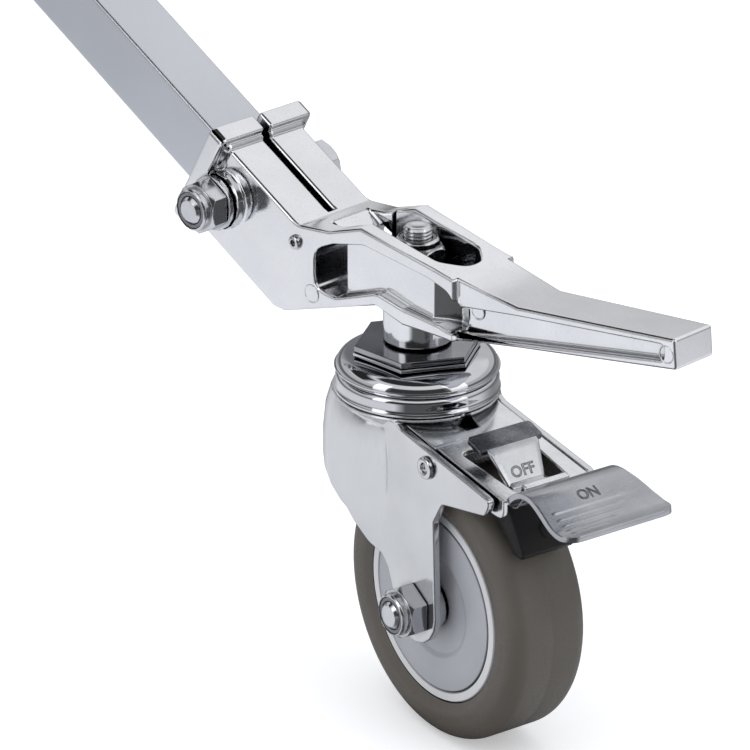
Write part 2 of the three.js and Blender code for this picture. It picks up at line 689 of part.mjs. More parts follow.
function lockSpring() {
  const half = springWidth / 2;
  const corners = both([[springRear, half, castCorner], [springFront, half]]);
  const leaf = upZ(outline(corners), springTop - springThickness, springTop);
  return leaf.subtract(turnedZ(rod(rivetRadius + seatGap, 0, neckTop), pinSides, [rivetForward, 0, 0]));
}

function springRivet() {
  const foot = springTop - springThickness - seatGap;
  const top = crownTop + seatGap;
  return turnedZ([
    [0, foot - rivetHead],
    [rivetHeadRadius, foot - rivetHead],
    [rivetHeadRadius, foot],
    [rivetRadius, foot],
    [rivetRadius, top],
    [rivetHeadRadius, top],
    [rivetHeadRadius, top + rivetHead],
    [0, top + rivetHead],
  ], pinSides, [rivetForward, 0, 0]);
}

caster.add(piece('lock_spring', lockSpring(), steel));
caster.add(piece('spring_rivet', springRivet(), steel));

// Axle through the fork, laid out along the wheel's own axis with the nut on the near side
const axle = new THREE.Group();
axle.position.set(trail, 0, axleHeight);
axle.rotation.set(Math.PI / 2, 0, 0);
caster.add(axle);
const cheekOutside = forkWidth / 2 + seatGap;
const cheekInside = forkWidth / 2 - forkSheet - seatGap;
const axleLength = 2 * cheekOutside + nutHeight + collarHeight + threadTip;
const spacerLow = rimWidth / 2 + coverProud + seatGap;
axle.add(piece('axle_bolt', hexBolt(axleLength).translate(0, 0, -cheekOutside), zinc));
axle.add(piece('axle_nut', lockNut().translate(0, 0, cheekOutside), zinc));
axle.add(piece('axle_nut_insert', nutInsert().translate(0, 0, cheekOutside), nylon));
const sleeveTube = ring(axleRadius + seatGap, sleeveRadius + seatGap, -cheekInside, cheekInside);
axle.add(piece('axle_sleeve', turnedZ(sleeveTube, boltSides), steel));
const spacerRing = turnedZ(ring(sleeveRadius + 2 * seatGap, spacerRadius, spacerLow, cheekInside), boltSides);
axle.add(piece('axle_spacer_near', spacerRing, zinc));
axle.add(piece('axle_spacer_far', spacerRing.mirror([0, 0, 1]), zinc));

// Wheel bearings: the inner rings stay on the sleeve, the outer rings and balls turn with the wheel
const bearingOut = rimWidth / 2 - bearingInset;
const bearingIn = bearingOut - bearingWidth;
const innerRingBore = sleeveRadius + 2 * seatGap;
const wheelPitch = (innerRingBore + bearingRadius) / 2;
const innerRing = turnedZ(ring(innerRingBore, innerRingBore + ringWall, bearingIn, bearingOut), boltSides);
const outerRing = turnedZ(ring(bearingRadius - ringWall, bearingRadius, bearingIn, bearingOut), boltSides);
const bearingBalls = ballRing(wheelBallRadius, wheelPitch, wheelBalls, pinSides);
const bearingMiddle = (bearingIn + bearingOut) / 2;
axle.add(piece('bearing_inner_near', innerRing, steel));
axle.add(piece('bearing_inner_far', innerRing.mirror([0, 0, 1]), steel));

const wheel = new THREE.Group();
wheel.position.copy(axle.position);
wheel.rotation.copy(axle.rotation);
caster.add(wheel);

function tyre() {
  const half = tyreWidth / 2;
  const inset = tyreRadius - tyreShoulder;
  const crown = arc(inset, half - tyreShoulder, tyreShoulder, 0, Math.PI / 2, cornerSteps + 1);
  const side = [...crown, [rimRadius + 2 * coverProud, half], [rimRadius + seatGap, rimWidth / 2]];
  const other = side.map(([r, h]) => [r, -h]).reverse();
  return turnedZ([...side, ...other, side[0]], wheelSides);
}

// Barrel with a web and a hub that takes a bearing from each side
function wheelRim() {
  const half = rimWidth / 2;
  const coverSeat = half + coverProud - coverThickness - seatGap;
  const barrel = rimRadius - barrelWall;
  const side = [
    [rimRadius, half],
    [coverRadius + seatGap, half],
    [coverRadius + seatGap, coverSeat],
    [barrel, coverSeat],
    [barrel, webThickness / 2],
    [hubRadius, webThickness / 2],
    [hubRadius, bearingOut],
    [bearingRadius + seatGap, bearingOut],
    [bearingRadius + seatGap, bearingIn - seatGap],
    [bearingRadius - ringWall, bearingIn - seatGap],
  ];
  const other = side.map(([r, h]) => [r, -h]).reverse();
  return turnedZ([...side, ...other, side[0]], raceSides);
}

function hubCover() {
  const top = rimWidth / 2 + coverProud;
  const floor = top - coverThickness;
  const foot = bearingOut + seatGap;
  return turnedZ([
    [coverBore, foot],
    [hubRadius, foot],
    [hubRadius + coverDish, floor],
    [coverRadius, floor],
    [coverRadius, top],
    [hubRadius + coverDish, top],
    [hubRadius, top - coverDish],
    [coverBore, top - coverDish],
    [coverBore, foot],
  ], raceSides);
}

wheel.add(piece('tyre', tyre(), rubber));
wheel.add(piece('wheel_rim', wheelRim(), greyPlastic));
wheel.add(piece('hub_cover_near', hubCover(), coverPlastic));
wheel.add(piece('hub_cover_far', hubCover().mirror([0, 0, 1]), coverPlastic));
wheel.add(piece('bearing_outer_near', outerRing, steel));
wheel.add(piece('bearing_outer_far', outerRing.mirror([0, 0, 1]), steel));
wheel.add(piece('bearing_balls_near', bearingBalls.translate(0, 0, bearingMiddle), steel));
wheel.add(piece('bearing_balls_far', bearingBalls.translate(0, 0, -bearingMiddle), steel));

// Brake, in the caster's frame: a channel on the brake pin, the pedal plate, the shoe and the release tab
function acrossLever(radius, x, z) {
  return turnedY(rod(radius + seatGap, -overrun, overrun), pinSides, [x, 0, z]);
}

function brakeLever() {
  const half = leverWidth / 2;
  const inner = half - leverSheet;
  const floor = axleHeight + leverFlangeFloor;
  const hub = arc(brakePinForward, pinHeight, leverHub, turn / 2, (3 * turn) / 4, cornerSteps);
  const side = [
    [leverRear, leverTop(leverRear)],
    ...hub,
    [leverFront, floor, castCorner],
    [leverFront, leverTop(leverFront)],
  ];
  const sheetTop = (x) => leverTop(x) - leverSheet;
  const hollow = [
    [leverRear - overrun, sheetTop(leverRear - overrun)],
    [leverRear - overrun, 0],
    [leverFront + overrun, 0],
    [leverFront + overrun, sheetTop(leverFront + overrun)],
  ];
  const span = leverFront - leverRear;
  const hole = both(windowShares.map(([u, v]) => [leverRear + u * span, v * half, castCorner]));
  const lipRear = leverFront - lipLength;
  const lip = [
    [lipRear, leverTop(lipRear) - leverSheet],
    [leverFront, leverTop(leverFront) - leverSheet],
    [leverFront, leverTop(leverFront) + lipThickness],
    [lipRear, leverTop(lipRear) + lipThickness],
  ];
  return alongY(outline(side), -half, half)
    .subtract(alongY(outline(hollow), -inner, inner))
    .subtract(upZ(outline(hole), axleHeight, neckTop + overrun))
    .add(alongY(outline(lip), -lipWidth / 2, lipWidth / 2))
    .subtract(acrossLever(brakePinRadius, brakePinForward, pinHeight))
    .subtract(acrossLever(tabPinRadius, tabPinForward, tabPinHeight));
}

function brakePin() {
  const low = forkWidth / 2 + seatGap;
  const middle = low + brakePinHead / 2;
  const top = low + brakePinHead;
  const shank = [[0, 0], [brakePinRadius, 0], [brakePinRadius, low]];
  const head = [[brakePinHeadRadius, low], [brakePinHeadRadius, middle], [brakePinRadius, top]];
  const half = turnedY([...shank, ...head, [0, top]], pinSides);
  return half.add(half.mirror([0, 1, 0])).translate(brakePinForward, 0, pinHeight);
}

function camRoller() {
  const half = leverWidth / 2 - leverSheet - seatGap;
  const wall = ring(brakePinRadius + seatGap, rollerRadius, -half, half);
  return turnedY(wall, pinSides, [brakePinForward, 0, pinHeight]);
}

// The pedal starts as a tongue under the lever's front edge, steps up over it and runs out in an S
const pedalFoot = leverFront + seatGap;
const pedalReach = leverFront + pedalLength;
const pedalBase = leverTop(leverFront);
const tongueRear = leverFront - tongueLength;
const pedalSpots = pedalShares.map(([u, v]) => [
  pedalFoot + u * (pedalReach - pedalFoot),
  pedalBase + v * pedalCrest,
]);
const tongueTop = (x) => leverTop(x) - leverSheet - seatGap;

function thickened(places, thickness) {
  const below = places.map(([x, z], i) => {
    const [x0, z0] = places[Math.max(i - 1, 0)];
    const [x1, z1] = places[Math.min(i + 1, places.length - 1)];
    const run = Math.hypot(x1 - x0, z1 - z0);
    return [x + ((z1 - z0) / run) * thickness, z - ((x1 - x0) / run) * thickness];
  });
  return [...places, ...below.reverse()];
}

function gripBars() {
  const [front, frontZ] = pedalSpots.at(-1);
  let bars = null;
  for (let i = 0; i < grips; i += 1) {
    const x = front - (i + 1) * gripPitch;
    const run = pedalSpots.findIndex(([px]) => px > x);
    const [x0, z0] = pedalSpots[run - 1];
    const [x1, z1] = pedalSpots[run];
    const z = z0 + ((z1 - z0) * (x - x0)) / (x1 - x0);
    const low = Math.min(z, frontZ) - pedalSheet / 2;
    const bar = [[x, low], [x + gripWidth, low], [x + gripWidth, z + gripHeight], [x, z + gripHeight]];
    const solid = alongY(outline(bar), -pedalWidth / 2 + pedalCorner, pedalWidth / 2 - pedalCorner);
    bars = bars ? bars.add(solid) : solid;
  }
  return bars;
}

function brakePedal() {
  const plate = alongY(outline(thickened(pedalSpots, pedalSheet)), -pedalWidth, pedalWidth);
  const run = pedalReach - pedalFoot;
  const spots = pedalWidthShares.map(([u, v]) => [pedalFoot + u * run, (v * pedalWidth) / 2]);
  spots[0].push(castCorner);
  spots.at(-1).push(pedalCorner);
  const plan = upZ(outline(both(spots)), axleHeight, neckTop + overrun);
  const tongue = [
    [tongueRear, tongueTop(tongueRear) - pedalSheet],
    [pedalFoot + pedalSheet, tongueTop(pedalFoot + pedalSheet) - pedalSheet],
    [pedalFoot + pedalSheet, pedalBase],
    [pedalFoot, pedalBase],
    [pedalFoot, tongueTop(pedalFoot)],
    [tongueRear, tongueTop(tongueRear)],
  ];
  const step = alongY(outline(tongue), -tongueWidth / 2, tongueWidth / 2);
  return plate.intersect(plan).add(gripBars()).add(step);
}

const shoeFront = leverFront - shoeSetback;
const shoeRear = shoeFront - shoeLength;
const shoeTop = tongueTop(shoeFront) - pedalSheet - seatGap;

function brakeShoe() {
  const radius = tyreRadius + shoeClearance;
  const angleAt = (x) => Math.acos((x - trail) / radius);
  const contactEnd = angleAt(shoeRear + shoeContactLength);
  const sole = arc(trail, axleHeight, radius, angleAt(shoeRear), contactEnd, soleSteps);
  const shelf = tabPinHeight - tabHub - 2 * seatGap;
  const side = [
    ...sole,
    [shoeFront, axleHeight + shoeFrontRise],
    [shoeFront, shoeTop],
    [tongueRear, shoeTop],
    [tongueRear, shelf],
    [shoeRear, shelf],
  ];
  return alongY(outline(side), -shoeWidth / 2, shoeWidth / 2);
}

function tabPin() {
  const half = leverWidth / 2;
  return turnedY(rod(tabPinRadius, -half, half), pinSides, [tabPinForward, 0, tabPinHeight]);
}

function releaseTab() {
  const spots = tabShares.map(([u, v]) => [tabPinForward + u * tabLength, tabPinHeight + v * tabLength]);
  const plate = alongY(outline(thickened(spots, tabSheet)), -tabWidth, tabWidth);
  const front = both(tabWidthShares.map(([v, w]) => [tabPinHeight + v * tabLength, (w * tabWidth) / 2]));
  const face = alongX(outline(front.map(([z, y]) => [y, z])), leverRear - overrun, leverFront + overrun);
  const half = tabHubLength / 2;
  const hub = turnedY(rod(tabHub, -half, half), pinSides, [tabPinForward, 0, tabPinHeight]);
  return plate.intersect(face).add(hub).subtract(acrossLever(tabPinRadius, tabPinForward, tabPinHeight));
}

caster.add(piece('brake_lever', brakeLever(), zinc));
caster.add(piece('brake_pin', brakePin(), zinc));
caster.add(piece('cam_roller', camRoller(), steel));
caster.add(piece('brake_pedal', brakePedal(), satinChrome));
caster.add(piece('brake_shoe', brakeShoe(), blackPlastic));
caster.add(piece('tab_pin', tabPin(), zinc));
caster.add(piece('release_tab', releaseTab(), zinc));

// The origin goes to the middle of the tube's open end
const [endX, endZ] = along(tubeEnd, 0);
root.position.set(-endX, 0, -endZ);

export default root;
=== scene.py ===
import json
import math
import bpy
from mathutils import Matrix, Vector


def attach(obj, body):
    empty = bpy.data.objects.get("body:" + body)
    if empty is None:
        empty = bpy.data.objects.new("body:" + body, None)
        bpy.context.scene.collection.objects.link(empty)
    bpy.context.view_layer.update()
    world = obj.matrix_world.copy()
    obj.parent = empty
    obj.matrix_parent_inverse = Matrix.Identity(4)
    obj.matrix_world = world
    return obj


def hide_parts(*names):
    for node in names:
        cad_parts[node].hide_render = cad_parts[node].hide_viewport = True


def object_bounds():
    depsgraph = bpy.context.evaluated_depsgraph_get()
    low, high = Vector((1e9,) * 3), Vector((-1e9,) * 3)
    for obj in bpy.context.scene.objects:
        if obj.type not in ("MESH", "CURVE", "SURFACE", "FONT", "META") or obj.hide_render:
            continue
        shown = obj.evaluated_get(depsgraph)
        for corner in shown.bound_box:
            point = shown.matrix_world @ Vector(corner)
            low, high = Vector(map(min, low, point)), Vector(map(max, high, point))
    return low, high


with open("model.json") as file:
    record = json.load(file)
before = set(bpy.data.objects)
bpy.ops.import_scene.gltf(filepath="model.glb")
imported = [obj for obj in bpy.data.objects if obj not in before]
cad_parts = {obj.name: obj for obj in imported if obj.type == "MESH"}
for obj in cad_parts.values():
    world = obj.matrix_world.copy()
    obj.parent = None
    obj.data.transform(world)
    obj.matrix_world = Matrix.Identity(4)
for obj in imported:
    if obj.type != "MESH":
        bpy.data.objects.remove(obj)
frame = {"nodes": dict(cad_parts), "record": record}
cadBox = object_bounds()
print("stage: frame loaded")

mm = 0.001
record = frame["record"]
joints = {joint["name"]: joint for joint in record["behaviour"]["joints"]}
bodyOf = {node: body for body, nodes in record["behaviour"]["bodies"].items() for node in nodes}
slotOf = {part["node"]: part["material_slot"] for part in record["subparts"]}

# places that the frame gives: kingpin axis, wheel axis, floor
upward = Vector((0, 0, 1))
wheelAt = Vector(joints["wheel_spin"]["pos_m"])
wheelAxis = Vector(joints["wheel_spin"]["axis"]).normalized()
trailWay = wheelAxis.cross(upward)
kingpinX = joints["swivel"]["pos_m"][0]
floorZ = cadBox[0].z


def frameAt(origin, xWay, yWay, zWay):
    turned = Matrix((xWay, yWay, zWay)).transposed().to_4x4()
    return Matrix.Translation(origin) @ turned


casterFrame = frameAt(Vector((kingpinX, 0, floorZ)), trailWay, wheelAxis, upward)
wheelFrame = frameAt(wheelAt, trailWay, upward, -wheelAxis)  # local Z runs out of the near side
kingpinFrame = Matrix.Translation(Vector((kingpinX, 0, floorZ)))


# selecting and small mesh steps, as by hand
def pickOnly(piece):
    bpy.ops.object.select_all(action="DESELECT")
    piece.select_set(True)
    bpy.context.view_layer.objects.active = piece


def inEditMode(piece, *steps):
    pickOnly(piece)
    bpy.ops.object.mode_set(mode="EDIT")
    bpy.ops.mesh.select_mode(type="VERT")
    for step in steps:
        bpy.ops.mesh.select_all(action="SELECT")
        step()
    bpy.ops.object.mode_set(mode="OBJECT")


def applyModifier(piece, kind, **values):
    pickOnly(piece)
    modifier = piece.modifiers.new(kind, kind)
    for name, value in values.items():
        setattr(modifier, name, value)
    bpy.ops.object.modifier_apply(modifier=modifier.name)


def roundEdges(piece, width, segments, angle=50, **values):
    applyModifier(
        piece, "BEVEL", width=width * mm, segments=segments, limit_method="ANGLE",
        angle_limit=math.radians(angle), **values,
    )


def linkedPiece(name, mesh):
    piece = bpy.data.objects.new(name, mesh)
    bpy.context.scene.collection.objects.link(piece)
    return piece


def justAdded(name):
    piece = bpy.context.object
    piece.name = name
    return piece


def smooth(piece, angle=32):
    pickOnly(piece)
    bpy.ops.object.shade_smooth_by_angle(angle=math.radians(angle))


def place(piece, matrix):
    piece.data.transform(matrix)
    piece.data.update()


def finishPiece(piece, nodes, material):
    piece.data.materials.clear()
    piece.data.materials.append(material)
    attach(piece, bodyOf[nodes[0]])
    return piece


# large flat faces keep their own normals and only the rounding between them turns
def steadyNormals(piece):
    applyModifier(piece, "WEIGHTED_NORMAL", mode="FACE_AREA", weight=50, keep_sharp=True)


# in a rounded copy, seams up to a width are closed, facets merged up to an angle and edges rounded from one
copyValues = {"seam": 0.002, "wideSeam": 0.01, "flat": 0.6, "edge": 30}


# a copy of a CAD solid with its facets merged and its edges rounded; creases are rounded wider first
def roundedCopy(node, name, width, segments, material, crease=None, creaseWidth=0, seam=copyValues["seam"]):
    source = frame["nodes"][node]
    piece = linkedPiece(name, source.data.copy())
    inEditMode(
        piece,
        lambda: bpy.ops.mesh.remove_doubles(threshold=seam * mm),
        lambda: bpy.ops.mesh.dissolve_limited(angle_limit=math.radians(copyValues["flat"])),
    )
    if crease:
        widenCrease(piece, crease, creaseWidth)
    roundEdges(
        piece, width, segments, copyValues["edge"],
        use_clamp_overlap=seam < copyValues["wideSeam"], loop_slide=False,
    )
    smooth(piece)
    steadyNormals(piece)
    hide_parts(node)
    finishPiece(piece, [node], material)


# edges chosen by their ends and by the normals of the faces that meet there get a wide rounding
def widenCrease(piece, isCrease, width):
    mesh = piece.data
    faceNormals = {}
    for face in mesh.polygons:
        for key in face.edge_keys:
            faceNormals.setdefault(key, []).append(face.normal.copy())
    chosen = [edge.index for edge in mesh.edges
              if isCrease([mesh.vertices[i].co.copy() for i in edge.vertices], faceNormals[edge.key])]
    inEditMode(piece)
    bpy.ops.object.mode_set(mode="EDIT")
    bpy.ops.mesh.select_mode(type="EDGE")
    bpy.ops.mesh.select_all(action="DESELECT")
    bpy.ops.object.mode_set(mode="OBJECT")
    for index in chosen:
        mesh.edges[index].select = True
    bpy.ops.object.mode_set(mode="EDIT")
    bpy.ops.mesh.bevel(offset=width * mm, segments=8, affect="EDGES", clamp_overlap=True)
    bpy.ops.object.mode_set(mode="OBJECT")
    print("edges rounded wide on", piece.name, len(chosen))


# a profile of (radius, height) in millimetres spun about local Z
def spunPiece(name, profile, steps, matrix):
    mesh = bpy.data.meshes.new(name)
    points = [(radius * mm, 0, height * mm) for radius, height in profile]
    mesh.from_pydata(points, [(i, i + 1) for i in range(len(points) - 1)], [])
    piece = linkedPiece(name, mesh)
    inEditMode(
        piece,
        lambda: bpy.ops.mesh.spin(steps=steps, angle=math.tau, center=(0, 0, 0), axis=(0, 0, 1)),
        lambda: bpy.ops.mesh.remove_doubles(threshold=0.01 * mm),
        lambda: bpy.ops.mesh.normals_make_consistent(inside=False),
    )
    smooth(piece, 40)
    place(piece, matrix)
    return piece


def arcPoints(centreR, centreH, radius, start, stop, steps):
    turns = [math.radians(start + (stop - start) * i / steps) for i in range(steps + 1)]
    return [(centreR + radius * math.cos(t), centreH + radius * math.sin(t)) for t in turns]


# a profile's second side, the same as the first one below the middle plane
def mirrored(side):
    return [(radius, -height) for radius, height in reversed(side)]


# local Z turned to run across the leg, out of the near side
def acrossAt(base, x, y, z):
    return base @ Matrix.Translation((x * mm, y * mm, z * mm)) @ Matrix.Rotation(math.pi / 2, 4, "X")


# node trees
def newMaterial(name):
    material = bpy.data.materials.new(name)
    material.use_nodes = True
    return material, material.node_tree, material.node_tree.nodes["Principled BSDF"]


def addNode(tree, kind, inputs=None, **values):
    node = tree.nodes.new(kind)
    for name, value in values.items():
        setattr(node, name, value)
    for name, value in (inputs or {}).items():
        if isinstance(value, bpy.types.NodeSocket):
            tree.links.new(value, node.inputs[name])
        else:
            node.inputs[name].default_value = value
    return node


def mathOf(tree, operation, *inputs):
    return addNode(tree, "ShaderNodeMath", dict(enumerate(inputs)), operation=operation).outputs[0]


def vectorOf(tree, operation, *inputs, output="Vector"):
    return addNode(tree, "ShaderNodeVectorMath", dict(enumerate(inputs)), operation=operation).outputs[output]


def objectNoise(tree, scale, detail, stretch=(1, 1, 1), turn=(0, 0, 0)):
    coords = addNode(tree, "ShaderNodeTexCoord")
    mapping = addNode(tree, "ShaderNodeMapping", {
        "Vector": coords.outputs["Object"], "Scale": stretch, "Rotation": turn})
    noise = addNode(tree, "ShaderNodeTexNoise", {
        "Vector": mapping.outputs["Vector"], "Scale": scale, "Detail": detail})
    return noise.outputs["Fac"]


def mapped(tree, value, low, high, fromLow=0.3, fromHigh=0.7, **values):
    spread = addNode(tree, "ShaderNodeMapRange", {
        "Value": value, "From Min": fromLow, "From Max": fromHigh, "To Min": low, "To Max": high}, **values)
    return spread.outputs["Result"]


def mixedColour(tree, factor, first, second, blend="MIX"):
    mix = addNode(tree, "ShaderNodeMix", data_type="RGBA", blend_type=blend)
    for socket, value in ((mix.inputs[0], factor), (mix.inputs[6], first), (mix.inputs[7], second)):
        if isinstance(value, bpy.types.NodeSocket):
            tree.links.new(value, socket)
        else:
            socket.default_value = value
    return mix.outputs[2]


# how open a spot lies, from the least value where it is shut in to 1 where it is clear
def openness(tree, reach, shut, clear, least=0, samples=8):
    shade = addNode(tree, "ShaderNodeAmbientOcclusion", {"Distance": reach}, samples=samples)
    return mapped(tree, shade.outputs["AO"], least, 1, shut, clear)


# painted shade darkens the corners; each pass says how far round a spot it looks, what is all shade and what is
# clear
def cornerShaded(tree, tone, values):
    for reach, shut, clear in values["corners"]:
        tone = mixedColour(tree, openness(tree, reach * mm, shut, clear), values["cornerShadeColour"], tone)
    return tone


def bumped(tree, height, strength, depth, normal=None):
    inputs = {"Strength": strength, "Distance": depth * mm, "Height": height}
    if normal is not None:
        inputs["Normal"] = normal
    return addNode(tree, "ShaderNodeBump", inputs).outputs["Normal"]


# how deep the relief is in millimetres, and which noise values count as a speck
reliefDepth = {"grain": 0.05, "wave": 0.4, "moulded": 0.06}
speckRange = (0.55, 0.75)


# polished or satin metal: fine grain in the roughness, soft waviness, specks, painted shade in the corners,
# edges that look worn round
def metalFinish(name, values):
    material, tree, shader = newMaterial(name)
    grain = objectNoise(tree, values["grainScale"], 6, values["grainStretch"], values["grainTurn"])
    cloud = objectNoise(tree, values["cloudScale"], 3)
    specks = objectNoise(tree, values["speckScale"], 2)
    tone = mixedColour(tree, mapped(tree, cloud, 0, 1), values["colour"], values["otherColour"])
    speckled = mapped(tree, specks, 0, values["speckShare"], *speckRange)
    tone = cornerShaded(tree, mixedColour(tree, speckled, tone, values["speckColour"]), values)
    tree.links.new(tone, shader.inputs["Base Color"])
    tree.links.new(mapped(tree, grain, values["roughLow"], values["roughHigh"]), shader.inputs["Roughness"])
    normal = None
    if values["edgeRound"]:
        worn = addNode(tree, "ShaderNodeBevel", {"Radius": values["edgeRound"] * mm}, samples=6)
        normal = worn.outputs["Normal"]
    normal = bumped(tree, grain, values["bump"], reliefDepth["grain"], normal)
    normal = bumped(tree, cloud, values["wave"], reliefDepth["wave"], normal)
    tree.links.new(normal, shader.inputs["Normal"])
    shader.inputs["Metallic"].default_value = 1
    return material


# rubber and plastics: mottled colour, painted shade in the corners, fine moulded texture
def mouldedFinish(name, values):
    material, tree, shader = newMaterial(name)
    fine = objectNoise(tree, values["fineScale"], 5)
    broad = objectNoise(tree, values["broadScale"], 3)
    tone = mixedColour(tree, mapped(tree, broad, 0, 1), values["colour"], values["otherColour"])
    tree.links.new(cornerShaded(tree, tone, values), shader.inputs["Base Color"])
    tree.links.new(mapped(tree, fine, values["roughLow"], values["roughHigh"]), shader.inputs["Roughness"])
    tree.links.new(bumped(tree, fine, values["bump"], reliefDepth["moulded"]), shader.inputs["Normal"])
    shader.inputs["Specular IOR Level"].default_value = values["shine"]
    return material


# each look names what differs from the plain one; corners are passes of painted corner shade as (reach in
# millimetres, all shade, clear)
plainMetal = {"corners": ((3, 0.1, 0.7),), "grainStretch": (1, 1, 1), "grainTurn": (0, 0, 0), "edgeRound": 0.5,
              "speckShare": 0.3}
tubeLook = dict(
    plainMetal, colour=(0.52, 0.54, 0.585, 1), otherColour=(0.57, 0.59, 0.63, 1),
    cornerShadeColour=(0.12, 0.12, 0.14, 1), corners=((4, 0.1, 0.7),), grainScale=900, grainStretch=(0.05, 1, 1),
    grainTurn=(0, math.radians(29.7), 0), cloudScale=18, roughLow=0.15, roughHigh=0.22, bump=0.05, wave=0.01,
    edgeRound=1.2, speckScale=900, speckShare=0.1, speckColour=(0.40, 0.41, 0.44, 1),
)
# the casting's second, wider pass paints shade deep in its pocket and openings
castLook = dict(
    plainMetal, colour=(0.71, 0.72, 0.745, 1), otherColour=(0.77, 0.78, 0.80, 1),
    cornerShadeColour=(0.015, 0.015, 0.02, 1), corners=((12, 0.2, 0.55), (26, 0.14, 0.36)), grainScale=1400,
    cloudScale=60, roughLow=0.09, roughHigh=0.16, bump=0.08, wave=0.06, edgeRound=0.6,
    speckScale=1300, speckColour=(0.50, 0.51, 0.53, 1),
)
zincLook = dict(
    plainMetal, colour=(0.58, 0.59, 0.61, 1), otherColour=(0.66, 0.67, 0.685, 1),
    cornerShadeColour=(0.03, 0.03, 0.035, 1), corners=((5, 0.1, 0.7),), grainScale=1200, grainStretch=(1, 1, 0.15),
    cloudScale=40, roughLow=0.13, roughHigh=0.22, bump=0.06, wave=0.03, edgeRound=0.8,
    speckScale=1100, speckShare=0.15, speckColour=(0.44, 0.45, 0.47, 1),
)
leverLook = dict(
    zincLook, colour=(0.62, 0.63, 0.65, 1), otherColour=(0.72, 0.73, 0.745, 1),
    cornerShadeColour=(0.12, 0.12, 0.13, 1), corners=((5, 0, 0.35),), cloudScale=70, roughLow=0.12, roughHigh=0.26,
    wave=0.14, speckShare=0.3,
)
mirrorLook = dict(
    plainMetal, colour=(0.52, 0.53, 0.56, 1), otherColour=(0.60, 0.61, 0.635, 1),
    cornerShadeColour=(0.01, 0.01, 0.013, 1), corners=((3, 0.1, 0.6),), grainScale=1600, cloudScale=50,
    roughLow=0.03, roughHigh=0.07, bump=0.02, wave=0.03, edgeRound=0,
    speckScale=1500, speckShare=0.1, speckColour=(0.5, 0.5, 0.52, 1),
)
hexLook = dict(
    mirrorLook, colour=(0.26, 0.265, 0.285, 1), otherColour=(0.36, 0.365, 0.385, 1), edgeRound=0.3,
)
fastenerLook = dict(
    plainMetal, colour=(0.56, 0.57, 0.60, 1), otherColour=(0.64, 0.65, 0.675, 1),
    cornerShadeColour=(0.02, 0.02, 0.025, 1), corners=((3, 0.1, 0.75),), grainScale=1500, cloudScale=90,
    roughLow=0.09, roughHigh=0.18, bump=0.05, wave=0.05,
    speckScale=1500, speckShare=0.25, speckColour=(0.4, 0.41, 0.43, 1),
)
pedalLook = dict(
    plainMetal, colour=(0.36, 0.37, 0.395, 1), otherColour=(0.44, 0.45, 0.475, 1),
    cornerShadeColour=(0.05, 0.05, 0.06, 1), grainScale=1300, grainStretch=(1, 0.12, 1), cloudScale=45,
    roughLow=0.16, roughHigh=0.28, bump=0.06, wave=0.04, speckScale=1400, speckColour=(0.28, 0.29, 0.31, 1),
)
hiddenLook = dict(
    plainMetal, colour=(0.26, 0.26, 0.28, 1), otherColour=(0.34, 0.34, 0.36, 1),
    cornerShadeColour=(0.01, 0.01, 0.01, 1), corners=((3, 0.1, 0.8),), grainScale=1500, cloudScale=90,
    roughLow=0.2, roughHigh=0.35, bump=0.05, wave=0.05, edgeRound=0.3,
    speckScale=1500, speckColour=(0.18, 0.18, 0.19, 1),
)
padLook = dict(
    plainMetal, colour=(0.06, 0.062, 0.072, 1), otherColour=(0.17, 0.175, 0.195, 1),
    cornerShadeColour=(0.02, 0.02, 0.025, 1), grainScale=700, grainStretch=(1, 0.06, 1),
    grainTurn=(0, 0, math.radians(-10.26)), cloudScale=120, roughLow=0.12, roughHigh=0.3, bump=0.25, wave=0.1,
    speckScale=1400, speckColour=(0.5, 0.5, 0.52, 1),
)
tabLook = dict(
    plainMetal, colour=(0.42, 0.43, 0.445, 1), otherColour=(0.52, 0.53, 0.545, 1),
    cornerShadeColour=(0.03, 0.03, 0.035, 1), grainScale=1300, cloudScale=70, roughLow=0.14, roughHigh=0.28,
    bump=0.1, wave=0.08, speckScale=1300, speckShare=0.35, speckColour=(0.42, 0.43, 0.45, 1),
)
# the letters are real stamped marks; their dark colour is painted shade of the stamped lines
stampShadeLook = dict(
    plainMetal, colour=(0.10, 0.10, 0.115, 1), otherColour=(0.18, 0.18, 0.2, 1),
    cornerShadeColour=(0.02, 0.02, 0.02, 1), corners=((1, 0.1, 0.8),), grainScale=1500, cloudScale=200,
    roughLow=0.3, roughHigh=0.5, bump=0.05, wave=0.05, edgeRound=0.1,
    speckScale=1500, speckColour=(0.3, 0.3, 0.32, 1),
)
plainMoulded = {"corners": ((2, 0.1, 0.8),), "shine": 0.5}
tyreLook = dict(
    plainMoulded, colour=(0.078, 0.070, 0.060, 1), otherColour=(0.092, 0.082, 0.070, 1),
    cornerShadeColour=(0.012, 0.011, 0.01, 1), fineScale=900, broadScale=30, roughLow=0.42, roughHigh=0.6, bump=0.15,
)
rimLook = dict(
    plainMoulded, colour=(0.56, 0.57, 0.59, 1), otherColour=(0.62, 0.63, 0.65, 1),
    cornerShadeColour=(0.08, 0.08, 0.09, 1), fineScale=1200, broadScale=40, roughLow=0.35, roughHigh=0.5, bump=0.08,
)
coverLook = dict(
    plainMoulded, colour=(0.34, 0.35, 0.385, 1), otherColour=(0.38, 0.39, 0.425, 1),
    cornerShadeColour=(0.04, 0.04, 0.05, 1), corners=((4, 0.1, 0.8),), fineScale=1100, broadScale=35,
    roughLow=0.32, roughHigh=0.48, bump=0.08,
)
shoeLook = dict(
    plainMoulded, colour=(0.010, 0.010, 0.011, 1), otherColour=(0.016, 0.016, 0.017, 1),
    cornerShadeColour=(0.002, 0.002, 0.002, 1), corners=((3, 0.1, 0.8),), fineScale=1000, broadScale=60,
    roughLow=0.35, roughHigh=0.55, bump=0.15, shine=0.15,
)
